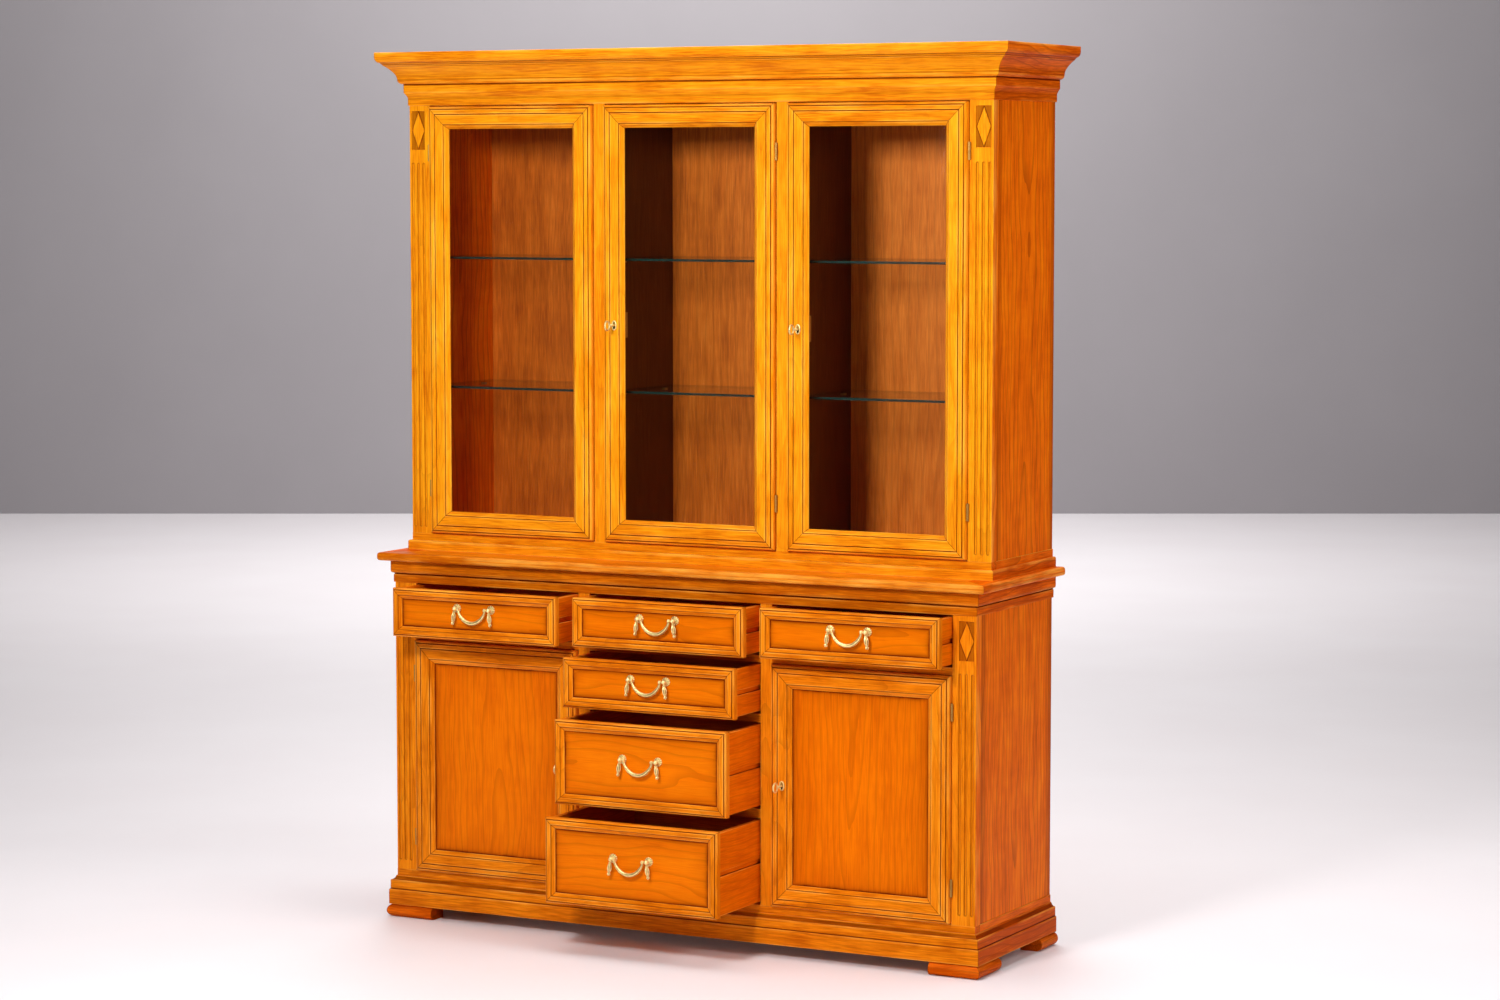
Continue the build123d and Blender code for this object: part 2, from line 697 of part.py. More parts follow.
def tassel(side, x, z, depth):
    """A turned drop hanging outward from a boss: cap, swelling body, neck and end bead."""
    tilt = radians(TASSEL_TILT)
    down = Vector(side * sin(tilt), 0, -cos(tilt))
    top = Vector(x, at(depth + PIVOT_OUT), z) + down * (BALL_RADIUS - 1.5)
    axis = Plane(origin=top, x_dir=Vector(0, -1, 0), z_dir=Vector(0, -1, 0).cross(down))
    with BuildPart() as piece:
        with BuildSketch(axis):
            with BuildLine():
                Polyline((0, 0), (2.2, 0), (2.2, 4))
                ThreePointArc((2.2, 4), (4.2, 17), (2.4, 27))
                ThreePointArc((2.4, 27), (3.2, 30.5), (2.4, 33.5))
                Polyline((2.4, 33.5), (0, TASSEL_LENGTH), (0, 0))
            make_face()
        revolve(axis=Axis(origin=top, direction=down))
    return piece.part


def build_pull(name):
    """Two rosettes with ball bosses, pivot pins and tassels, and the swag bail between them."""
    x, z, depth = pull_place(name)
    bosses = []
    for side in (-1, 1):
        boss_x = x + side * BOSS_SPACING / 2
        ball = Vector(boss_x, at(depth + PIVOT_OUT), z)
        with BuildPart() as boss:
            with BuildSketch(Plane(origin=(boss_x, at(depth), z), z_dir=FORWARD)):
                Circle(ROSETTE_RADIUS)
            extrude(amount=ROSETTE_THICK, taper=20)
            add(rod((boss_x, at(depth), z), FORWARD, NECK_RADIUS, PIVOT_OUT))
            with Locations(ball):
                Sphere(BALL_RADIUS)
            add(rod(ball, Vector(-side, 0, 0), PIVOT_RADIUS, BOSS_SPACING / 2 - EYE_INNER - 1))
            add(tassel(side, boss_x, z, depth))
        bosses.append(boss.part)
    save(f"pull_{name}", bosses)

    y = at(depth + PIVOT_OUT)
    eye_middle = EYE_INNER + EYE_LENGTH / 2
    with BuildPart() as bail:
        with BuildLine(Plane(origin=(x, y, z), x_dir=(1, 0, 0), z_dir=FORWARD)) as path:
            ThreePointArc((-eye_middle, -1), (0, -SWAG_DROP), (eye_middle, -1))
        with BuildSketch(Plane(origin=path.line @ 0, z_dir=path.line % 0)):
            Circle(SWAG_RADIUS)
        sweep(path=path.line)
        for side in (-1, 1):
            add(rod((x + side * EYE_INNER, y, z), Vector(side, 0, 0), EYE_RADIUS, EYE_LENGTH))
            add(
                rod((x + side * (EYE_INNER - 6), y, z), Vector(side, 0, 0), PIVOT_BORE, EYE_LENGTH + 8),
                mode=Mode.SUBTRACT,
            )
    save(f"bail_{name}", [bail.part])


# ---------------------------------------------------------------- doors
def hinge_segments(door, height, part_of):
    """Barrel segments of one hinge: the door carries the middle third, the case the outer two."""
    column, side, _, depth, _, _ = door
    _, pin_x, pin_depth = hinge_place(column, side, depth)
    third = BARREL_LENGTH / 3
    bottom = height - BARREL_LENGTH / 2
    starts = {"door": [bottom + third + SEGMENT_GAP], "case": [bottom, bottom + 2 * third]}[part_of]
    length = third - 2 * SEGMENT_GAP if part_of == "door" else third
    return [rod((pin_x, at(pin_depth), start), UP, BARREL_RADIUS, length) for start in starts]


def hinge_half(door, height, part_of):
    """One leaf with its barrel segments; the case half carries the pin."""
    column, side, _, depth, _, _ = door
    edge, pin_x, pin_depth = hinge_place(column, side, depth)
    z_range = (height - BARREL_LENGTH / 2, height + BARREL_LENGTH / 2)
    third = BARREL_LENGTH / 3
    pin = rod((pin_x, at(pin_depth), z_range[0]), UP, HINGE_PIN_RADIUS, BARREL_LENGTH)
    with BuildPart() as piece:
        for segment in hinge_segments(door, height, part_of):
            add(segment)
        if part_of == "case":
            add(pin)
            inner = edge + side * FIT
            add(case_leaf_box(door, height))
            for low in (z_range[0], z_range[1] - third):
                add(board(span(inner, inner + side * LEAF_THICK), (depth, pin_depth), (low, low + third)))
        else:
            leaf = span(edge, edge - side * LEAF_THICK)
            middle = (z_range[0] + third + SEGMENT_GAP, z_range[1] - third - SEGMENT_GAP)
            add(board(leaf, (depth + PROUD - DOOR_THICK, pin_depth - BARREL_RADIUS), z_range))
            add(board(leaf, (pin_depth - BARREL_RADIUS, pin_depth), middle))
            bore = rod((pin_x, at(pin_depth), z_range[0]), UP, HINGE_PIN_BORE, BARREL_LENGTH)
            add(bore, mode=Mode.SUBTRACT)
    return piece.part


def door_cuts(door):
    """What hinges and lock cut out of a door's members."""
    column, side, _, depth, hinges, lock_z = door
    edge, pin_x, pin_depth = hinge_place(column, side, depth)
    tools = []
    for height in hinges:
        z_range = (height - BARREL_LENGTH / 2 - 0.3, height + BARREL_LENGTH / 2 + 0.3)
        leaf = span(edge, edge - side * LEAF_THICK)
        tools.append(board(leaf, (depth + PROUD - DOOR_THICK, pin_depth), z_range))
        tools.append(rod((pin_x, at(pin_depth), z_range[0]), UP, BARREL_RELIEF, BARREL_LENGTH + 0.6))
    if lock_z:
        x = key_x(door)
        tools.append(rod((x, at(depth - DOOR_THICK), lock_z), FORWARD, KEY_BORE, 2 * DOOR_THICK))
    return tools


def key_x(door):
    """X of a door's keyhole."""
    column, side = door[0], door[1]
    return column * COLUMN_PITCH - side * (OPENING_HALF - FIT - KEYHOLE_IN)


def lock_pieces(door):
    """Escutcheon on the face and box lock behind the door, hollowed for the key and the bolt."""
    column, side, _, depth, _, lock_z = door
    x = key_x(door)
    face = depth + PROUD
    back = face - DOOR_THICK
    with BuildPart() as plate:
        with BuildSketch(Plane(origin=(x, at(face), lock_z), x_dir=(1, 0, 0), z_dir=FORWARD)):
            Ellipse(ESCUTCHEON_WIDTH / 2, ESCUTCHEON_HEIGHT / 2)
            Circle(KEY_BORE, mode=Mode.SUBTRACT)
        extrude(amount=ESCUTCHEON_THICK)
    lead, way, bolt_depth, bolt_z = bolt_place(door)
    case = board(
        span(lead, lead - way * LOCK_WIDTH),
        (back - LOCK_THICK, back),
        (lock_z - LOCK_HEIGHT / 2, lock_z + LOCK_HEIGHT / 2),
    )
    bolt_way = board(
        span(lead + way, lead - way * (BOLT_LENGTH + 1)),
        (bolt_depth - BOLT_THICK / 2 - BOLT_PLAY, bolt_depth + BOLT_THICK / 2 + BOLT_PLAY),
        (bolt_z - BOLT_HEIGHT / 2 - BOLT_PLAY, bolt_z + BOLT_HEIGHT / 2 + BOLT_PLAY),
    )
    key_way = rod((x, at(back + 1), lock_z), -FORWARD, BIT_CAVITY, BIT_LENGTH + 6)
    return [plate.part, cut(case, bolt_way, key_way)]


def build_key(name, door):
    """A key: bit inside the lock, round shank through the door, oval bow outside."""
    depth, lock_z = door[3], door[5]
    x = key_x(door)
    face = depth + PROUD
    back = face - DOOR_THICK
    tip = back - BIT_LENGTH - 3
    wire = BOW_WIRE / 2
    bow_near = face + BOW_OUT
    bow_middle = (x - wire, at(bow_near + BOW_LENGTH / 2), lock_z)
    side_plane = Plane(origin=bow_middle, x_dir=FORWARD, z_dir=(1, 0, 0))
    with BuildPart() as key:
        add(rod((x, at(tip), lock_z), FORWARD, KEY_RADIUS, bow_near + wire - tip))
        add(board(
            (x - BIT_WIDTH / 2, x + BIT_WIDTH / 2),
            (tip + 1, tip + 1 + BIT_LENGTH),
            (lock_z - BIT_REACH, lock_z),
        ))
        with BuildSketch(side_plane):
            Ellipse(BOW_LENGTH / 2, BOW_HEIGHT / 2)
            Ellipse(BOW_LENGTH / 2 - BOW_WIRE, BOW_HEIGHT / 2 - BOW_WIRE, mode=Mode.SUBTRACT)
        extrude(amount=BOW_WIRE)
    save(f"key_{name}", [key.part])


def build_bolt(name, door):
    """The sliding bolt of one lock, drawn back at rest."""
    lead, way, depth, z = bolt_place(door)
    bolt = board(
        span(lead, lead - way * BOLT_LENGTH),
        (depth - BOLT_THICK / 2, depth + BOLT_THICK / 2),
        (z - BOLT_HEIGHT / 2, z + BOLT_HEIGHT / 2),
    )
    save(f"bolt_{name}", [bolt])


def build_door(name, door):
    """A mitred frame round glass or a wooden panel, with its hinge halves and lock."""
    column, side, heights, depth, hinges, lock_z = door
    x = column * COLUMN_PITCH
    width = 2 * (OPENING_HALF - FIT)
    height = heights[1] - heights[0]
    back = depth + PROUD - DOOR_THICK
    glazed = name.startswith("glass")
    seat = GLASS_SEAT if glazed else PANEL_SEAT
    thick = GLASS_THICK if glazed else PANEL_THICK
    members = frame(door_section(seat), (x, sum(heights) / 2), width, height, back)
    members = [cut(member, *door_cuts(door)) for member in members]
    hidden = MEMBER - REBATE + 0.5
    infill = board(
        (x - width / 2 + hidden, x + width / 2 - hidden),
        (back + seat - thick, back + seat),
        (heights[0] + hidden, heights[1] - hidden),
    )
    if glazed:
        save(f"door_{name}", members)
        save(f"pane_{name}", [infill])
    else:
        save(f"door_{name}", [*members, infill])
    fittings = [hinge_half(door, height, "door") for height in hinges]
    if lock_z:
        fittings += lock_pieces(door)
        build_key(name, door)
        build_bolt(name, door)
    save(f"fittings_{name}", fittings)


def main():
    """Build and write every node."""
    os.makedirs("parts", exist_ok=True)
    build_upper_carcase()
    build_glass_shelves()
    build_lower_carcase()
    build_worktop()
    build_feet()
    build_runners()
    for name in DRAWERS:
        build_drawer(name)
        build_pull(name)
    for name, door in DOORS.items():
        build_door(name, door)
    leaves = [hinge_half(door, height, "case") for door in DOORS.values() for height in door[4]]
    save("case_hinge_leaves", leaves)


main()
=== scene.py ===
"""China cabinet in amber-stained wood: glazed top with cornice, base with drawers, cupboards and brass pulls.

Sizes are in millimetres in the dataclass fields and are turned to metres where points are made.
Depths are distances forward from the cabinet's back.
"""

from __future__ import annotations

import logging
from dataclasses import dataclass, field
from enum import Enum
from typing import Any, Callable, Sequence

import bpy
import numpy as np
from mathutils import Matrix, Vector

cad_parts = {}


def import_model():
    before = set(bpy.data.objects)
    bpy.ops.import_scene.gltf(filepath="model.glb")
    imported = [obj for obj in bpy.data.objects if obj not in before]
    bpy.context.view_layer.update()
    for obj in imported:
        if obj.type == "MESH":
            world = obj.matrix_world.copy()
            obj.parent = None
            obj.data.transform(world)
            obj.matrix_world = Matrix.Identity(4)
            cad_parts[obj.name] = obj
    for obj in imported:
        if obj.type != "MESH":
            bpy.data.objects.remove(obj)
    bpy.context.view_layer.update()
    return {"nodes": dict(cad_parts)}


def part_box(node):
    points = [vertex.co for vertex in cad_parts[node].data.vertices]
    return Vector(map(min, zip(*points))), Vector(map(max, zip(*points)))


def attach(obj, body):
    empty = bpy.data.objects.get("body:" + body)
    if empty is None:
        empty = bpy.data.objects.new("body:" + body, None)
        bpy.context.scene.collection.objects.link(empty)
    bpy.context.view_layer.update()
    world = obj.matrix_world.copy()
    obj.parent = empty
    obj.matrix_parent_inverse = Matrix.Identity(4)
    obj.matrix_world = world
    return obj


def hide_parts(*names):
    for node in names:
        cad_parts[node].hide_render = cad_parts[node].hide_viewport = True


LOG = logging.getLogger("china_cabinet")
MM = 0.001
RIGHT = np.array([1.0, 0.0, 0.0])
FORWARD = np.array([0.0, -1.0, 0.0])
UP = np.array([0.0, 0.0, 1.0])
# The body that stands still, a door member's width in millimetres, and the ends of a length cut square.
FIXED = "cabinet"
MEMBER = 54.0
SQUARE = (0, 0)
Span = tuple[float, float]


# ---------------------------------------------------------------- surfaces
@dataclass
class Patch:
    """A closed surface with what its finish reads at each point.

    grain holds (along, across, through) the board in metres from the tree's middle, the glaze mark is how much
    dark glaze and painted shade a hollow holds, and the wear mark is how much an edge is rubbed and carries a
    painted highlight.
    """

    points: np.ndarray
    faces: list[list[int]]
    grain: np.ndarray
    glaze_and_shade: np.ndarray
    worn_and_highlight: np.ndarray
    tone: float = 0.0


@dataclass
class Profile:
    """A closed outline in millimetres with its glaze and painted shade, and its wear and painted highlight, at each
    point.
    """

    points: np.ndarray
    glaze_and_shade: np.ndarray
    worn_and_highlight: np.ndarray


@dataclass
class Board:
    """Where a board was sawn from the tree, so that no two boards have the same figure.

    heart is how far from the tree's middle it was sawn in millimetres, flip turns its grain across, and shade makes
    it lighter than its finish above 0 and darker below; this is painted light and shade, such as rails darker than
    stiles, level boards darker than upright ones and returns darker than fronts.
    """

    number: int
    heart: float = 70.0
    flip: bool = False
    shade: float = 0.0

    def tone(self) -> float:
        """Returns how light the board is against its finish, from about -1 to 1: its own random tone plus the painted
        light and shade of its shade.
        """
        return self.shade + float(np.random.default_rng(5000 + self.number).uniform(-0.28, 0.28))

    def offset(self) -> np.ndarray:
        """Returns the board's place along, beside and out from the tree's middle, in metres."""
        draw = np.random.default_rng(1000 + self.number).uniform(-1.0, 1.0, 3)
        return np.array([draw[0] * 9.0, draw[1] * 0.012, self.heart * MM * (1.0 + 0.35 * draw[2])])


def outline(corners: Sequence[tuple[float, float, float]], shade: float = 2.6, steps: int = 4) -> Profile:
    """Rounds each corner of a closed outline and marks its glaze and painted shade, and its wear and painted
    highlight.

    Every corner becomes a quadratic curve between two points on its sides, as far from it as its rounding.
    Hollow corners hold glaze and painted shade and raised ones are worn and carry a painted highlight, fading out
    over the shade distance.

    Args:
        corners: (outward, upward, rounding) of each corner in millimetres.
        shade: distance over which the glaze and painted shade, and the wear and painted highlight, fade.
        steps: number of steps in each rounding.

    Returns:
        The outline, running anticlockwise.
    """
    data = np.asarray(corners, float)
    place, rounding = data[:, :2], data[:, 2]
    if np.sum(np.cross(place, np.roll(place, -1, 0))) < 0:
        place, rounding = place[::-1], rounding[::-1]
    before, after = np.roll(place, 1, 0) - place, np.roll(place, -1, 0) - place
    reach_before, reach_after = np.linalg.norm(before, axis=1), np.linalg.norm(after, axis=1)
    before, after = before / reach_before[:, None], after / reach_after[:, None]
    turn = np.cross(-before, after)
    share = np.linspace(0.0, 1.0, steps + 1)[None, :, None]
    first = place + before * np.minimum(rounding, reach_before * 0.49)[:, None]
    last = place + after * np.minimum(rounding, reach_after * 0.49)[:, None]
    curve = first[:, None] * (1 - share) ** 2 + place[:, None] * 2 * share * (1 - share) + last[:, None] * share**2
    far_before = np.clip(reach_before * 0.495, None, shade + rounding)
    far_after = np.clip(reach_after * 0.495, None, shade + rounding)
    lead = place + before * far_before[:, None]
    tail = place + after * far_after[:, None]
    points = np.concatenate([lead[:, None], curve, tail[:, None]], axis=1)
    strength = np.abs(turn)[:, None] * np.ones((1, steps + 3))
    strength[:, 0] *= np.clip(1 - (far_before - rounding) / shade, 0, 1)
    strength[:, -1] *= np.clip(1 - (far_after - rounding) / shade, 0, 1)
    keep = np.ones(strength.shape, bool)
    keep[:, 2 : steps + 2] = (rounding > 0)[:, None]
    hollow = (turn < 0)[:, None]
    # Hollow corners get glaze and painted shade; raised ones get wear and a painted highlight.
    glaze_and_shade, worn_and_highlight = np.where(hollow, strength, 0.0), np.where(hollow, 0.0, strength)
    return Profile(points[keep], glaze_and_shade[keep], worn_and_highlight[keep])


def rings(count: int, around: int, closed: bool = False) -> list[list[int]]:
    """Joins rings of points into quads, facing out where the rings run anticlockwise about the way they follow.

    Args:
        count: number of rings.
        around: points in each ring.
        closed: whether the last ring meets the first.

    Returns:
        The faces, with a cap at each end unless closed.
    """
    grid = np.arange(count * around).reshape(count, around)
    if closed:
        grid = np.vstack([grid, grid[:1]])
    turned = np.roll(grid, -1, axis=1)
    quads = np.stack([grid[:-1], turned[:-1], turned[1:], grid[1:]], axis=-1).reshape(-1, 4).tolist()
    if closed:
        return quads
    return quads + [grid[0][::-1].tolist(), grid[-1].tolist()]


def sweep(
    profile: Profile,
    middle: np.ndarray,
    length: float,
    out: np.ndarray,
    up: np.ndarray,
    ends: tuple[float, float],
    board: Board,
    joint: float = 0.0,
) -> Patch:
    """Carries a profile along a straight run, cut square or mitred at each end.

    A point lies at middle + run x distance + out x outward + up x upward, and the distance at each end grows
    by ends times the outward distance.

    Args:
        profile: outline in millimetres.
        middle: middle of the run at the profile's origin, in metres.
        length: length of the run at the profile's origin, in metres.
        out: direction of the profile's first axis.
        up: direction of its second axis.
        ends: 1 where the end grows outward, -1 where it shrinks, 0 where it is square.
        board: where the wood was sawn.
        joint: glaze in the joint at each end.

    Returns:
        The moulded length.
    """
    across, height = profile.points.T * MM
    run = np.cross(out, up)
    start, stop = -length / 2 - ends[0] * across, length / 2 + ends[1] * across
    edge = min(0.002 / max(length, 0.01), 0.2)
    share = np.array([0.0, edge, 1.0 - edge, 1.0])[:, None]
    along = start + (stop - start) * share
    shape = along.shape
    points = middle + along[..., None] * run + across[:, None] * out + height[:, None] * up
    grain = np.stack([along, np.broadcast_to(across, shape), np.broadcast_to(height, shape)], axis=-1)
    at_end = np.array([joint, 0.0, 0.0, joint])[:, None]
    glaze_and_shade = np.maximum(np.broadcast_to(profile.glaze_and_shade, shape), at_end)
    worn_and_highlight = np.broadcast_to(profile.worn_and_highlight, shape)
    return Patch(
        points.reshape(-1, 3),
        rings(4, len(across)),
        grain.reshape(-1, 3) + board.offset(),
        glaze_and_shade.reshape(-1),
        worn_and_highlight.reshape(-1),
        board.tone(),
    )


def plank(low: Sequence[float], high: Sequence[float], along: int, board: Board, rounding: float = 0.8) -> Patch:
    """A plain board: a rounded rectangle carried along the axis that its grain follows.

    Args:
        low: lowest corner in metres.
        high: highest corner in metres.
        along: 0, 1 or 2 for grain along X, Y or Z.
        board: where the wood was sawn.
        rounding: rounding of its long edges in millimetres.

    Returns:
        The board.
    """
    low, high = np.asarray(low, float), np.asarray(high, float)
    middle, size = (low + high) / 2, (high - low)
    first, second = (along + 1) % 3, (along + 2) % 3
    out, up = np.eye(3)[first], np.eye(3)[second]
    wide, tall = size[first] / MM / 2, size[second] / MM / 2
    corners = [(-wide, -tall, rounding), (wide, -tall, rounding), (wide, tall, rounding), (-wide, tall, rounding)]
    patch = sweep(outline(corners, 1.2, 3), middle, size[along], out, up, SQUARE, board)
    if wide < tall:
        shift = board.offset()
        patch.grain = (patch.grain - shift)[:, [0, 2, 1]] + shift
    return patch


def slab(
    across: np.ndarray,
    along: np.ndarray,
    relief: np.ndarray,
    marks: tuple[np.ndarray, np.ndarray],
    corner: np.ndarray,
    sideways: np.ndarray,
    out: np.ndarray,
    thick: float,
    board: Board,
) -> Patch:
    """A board whose front is a height over a grid of across and along, with flat sides and back.

    A front point lies at corner + sideways x across + (out x sideways) x along + out x relief.

    Args:
        across: places across the board in metres.
        along: places along it in metres.
        relief: height of the front at each (across, along), in metres.
        marks: glaze and painted shade, and wear and painted highlight, at each (across, along).
        corner: where both places are 0.
        sideways: direction of across.
        out: direction in which the front faces.
        thick: thickness behind the front's zero height.
        board: where the wood was sawn; flip turns its grain across.

    Returns:
        The board.
    """
    lengthways = np.cross(out, sideways)
    wide, tall = len(across), len(along)
    flat = corner + across[:, None, None] * sideways + along[None, :, None] * lengthways
    front = flat + relief[..., None] * out
    index = np.arange(wide * tall).reshape(wide, tall)
    ring = np.concatenate([index[:-1, 0], index[-1, :-1], index[:0:-1, -1], index[0, :0:-1]])
    behind = flat.reshape(-1, 3)[ring] - thick * out
    back = np.arange(len(ring)) + wide * tall
    quads = np.stack([index[:-1, :-1], index[1:, :-1], index[1:, 1:], index[:-1, 1:]], axis=-1).reshape(-1, 4)
    edges = np.stack([ring, back, np.roll(back, -1), np.roll(ring, -1)], axis=-1)
    both = np.stack(np.broadcast_arrays(along[None, :], across[:, None] - across.mean()), axis=-1)
    if board.flip:
        both = np.stack(np.broadcast_arrays(across[:, None], along[None, :] - along.mean()), axis=-1)
    grain = np.concatenate([both, relief[..., None]], axis=-1).reshape(-1, 3)
    hidden = grain[ring] - np.array([0.0, 0.0, thick])
    return Patch(
        np.vstack([front.reshape(-1, 3), behind]),
        quads.tolist() + edges.tolist() + [back[::-1].tolist()],
        np.vstack([grain, hidden]) + board.offset(),
        np.concatenate([marks[0].reshape(-1), np.zeros(len(ring))]),
        np.concatenate([marks[1].reshape(-1), np.zeros(len(ring))]),
        board.tone(),
    )


def tube(
    path: np.ndarray,
    radii: np.ndarray,
    normal: np.ndarray,
    heading: np.ndarray | None = None,
    sides: int = 20,
    lobes: tuple[int, float] = (0, 0.0),
    closed: bool = False,
) -> Patch:
    """A round bar, turning or bead along a path that lies in one plane.

    Each ring lies at path + radius x (cos a x side - sin a x normal), where side is square to the path in its
    plane, and lobes make the radius swell and shrink by a share of itself a number of times around.

    Args:
        path: points of the middle line in metres.
        radii: radius at each point in metres.
        normal: direction square to the path's plane.
        heading: the path's direction where it is straight; otherwise it is found from the points.
        sides: points around.
        lobes: number of lobes around and their height as a share of the radius.
        closed: whether the path is a loop.

    Returns:
        The bar.
    """
    if heading is not None:
        ahead = np.broadcast_to(heading, path.shape)
    elif closed:
        ahead = np.roll(path, -1, 0) - np.roll(path, 1, 0)
    else:
        ahead = np.gradient(path, axis=0)
    ahead = ahead / np.linalg.norm(ahead, axis=1, keepdims=True)
    side = np.cross(ahead, normal)
    angle = np.linspace(0.0, 2 * np.pi, sides, endpoint=False)
    swell = radii[:, None] * (1.0 + lobes[1] * np.cos(lobes[0] * angle))
    points = path[:, None] + swell[..., None] * (
        np.cos(angle)[None, :, None] * side[:, None] - np.sin(angle)[None, :, None] * normal
    )
    # The dips between lobes get glaze and painted shade, the rest wear and a painted highlight.
    dip = np.broadcast_to(np.clip(-np.cos(lobes[0] * angle), 0, 1) * (lobes[1] > 0), swell.shape)
    flat = points.reshape(-1, 3)
    return Patch(flat, rings(len(path), sides, closed), flat.copy(), dip.reshape(-1).copy(), 1.0 - dip.reshape(-1))


def turning(
    stations: Sequence[tuple[float, float]],
    start: np.ndarray,
    heading: np.ndarray,
    lobes: tuple[int, float] = (0, 0.0),
    sides: int = 24,
) -> Patch:
    """A lathe-turned piece along a straight line.

    Args:
        stations: (distance, radius) pairs in millimetres.
        start: where the distance is 0, in metres.
        heading: direction of the line.
        lobes: number of lobes around and their height as a share of the radius.
        sides: points around.

    Returns:
        The turning.
    """
    table = np.asarray(stations, float) * MM
    heading = heading / np.linalg.norm(heading)
    helper = RIGHT if abs(heading[0]) < 0.9 else UP
    normal = np.cross(heading, helper)
    normal = normal / np.linalg.norm(normal)
    path = start + table[:, :1] * heading
    return tube(path, np.maximum(table[:, 1], 1e-5), normal, heading, sides, lobes)


def dress_some(
    piece: bpy.types.Object, material: bpy.types.Material, chosen: Callable[[np.ndarray], np.ndarray]
) -> None:
    """Gives the faces of a piece that look a certain way a second finish.

    Args:
        piece: the piece, with its first finish on.
        material: the second finish.
        chosen: says from all the faces' normals which of them get it.
    """
    piece.data.materials.append(material)
    normals = np.empty(len(piece.data.polygons) * 3)
    piece.data.polygons.foreach_get("normal", normals)
    piece.data.polygons.foreach_set("material_index", chosen(normals.reshape(-1, 3)).astype(np.int32))


def aside(normals: np.ndarray) -> np.ndarray:
    """Returns which normals point straight left or right; those faces get the side finish's painted shade."""
    return np.abs(normals[:, 0]) > 0.98


def show(
    name: str,
    patches: Sequence[Patch],
    material: bpy.types.Material,
    body: str,
    nodes: Sequence[str] = (),
    crease: float = 34.0,
) -> bpy.types.Object:
    """Makes one piece of several patches, dresses it, and hangs it on its body.

    Args:
        name: the piece's name.
        patches: its closed surfaces.
        material: its finish.
        body: the body it moves with.
        nodes: the nodes it stands for.
        crease: angle in degrees past which an edge stays sharp.

    Returns:
        The piece.
    """
    counts = np.cumsum([0] + [len(patch.points) for patch in patches])
    faces = [
        [corner + int(first) for corner in face]
        for patch, first in zip(patches, counts[:-1])
        for face in patch.faces
    ]
    mesh = bpy.data.meshes.new(name)
    mesh.from_pydata(np.vstack([patch.points for patch in patches]).tolist(), [], faces)
    grain = mesh.attributes.new("grain", "FLOAT_VECTOR", "POINT")
    grain.data.foreach_set("vector", np.vstack([patch.grain for patch in patches]).astype(np.float32).ravel())
    # The glaze mark carries glaze and painted shade, the wear mark wear and painted highlight, and tone each board's
    # own tone plus painted light and shade.
    for key in ("glaze_and_shade", "worn_and_highlight", "tone"):
        mark = mesh.attributes.new(key, "FLOAT", "POINT")
        values = np.concatenate([np.broadcast_to(getattr(patch, key), len(patch.points)) for patch in patches])
        mark.data.foreach_set("value", values.astype(np.float32))
    mesh.polygons.foreach_set("use_smooth", np.ones(len(mesh.polygons), bool))
    mesh.set_sharp_from_angle(angle=np.radians(crease))
    mesh.materials.append(material)
    mesh.update()
    piece = bpy.data.objects.new(name, mesh)
    bpy.context.scene.collection.objects.link(piece)
    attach(piece, body)
    if nodes:
        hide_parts(*nodes)
    LOG.info("%s: %d points on %s", name, counts[-1], body)
    return piece


# ---------------------------------------------------------------- finishes
def linear(colour: str) -> tuple[float, float, float, float]:
    """Turns an sRGB colour into linear light.

    Args:
        colour: the colour as #RRGGBB.

    Returns:
        Linear red, green and blue, and a full alpha.
    """
    parts = np.array([int(colour[place : place + 2], 16) for place in (1, 3, 5)]) / 255.0
    value = np.where(parts <= 0.04045, parts / 12.92, ((parts + 0.055) / 1.055) ** 2.4)
    return (float(value[0]), float(value[1]), float(value[2]), 1.0)


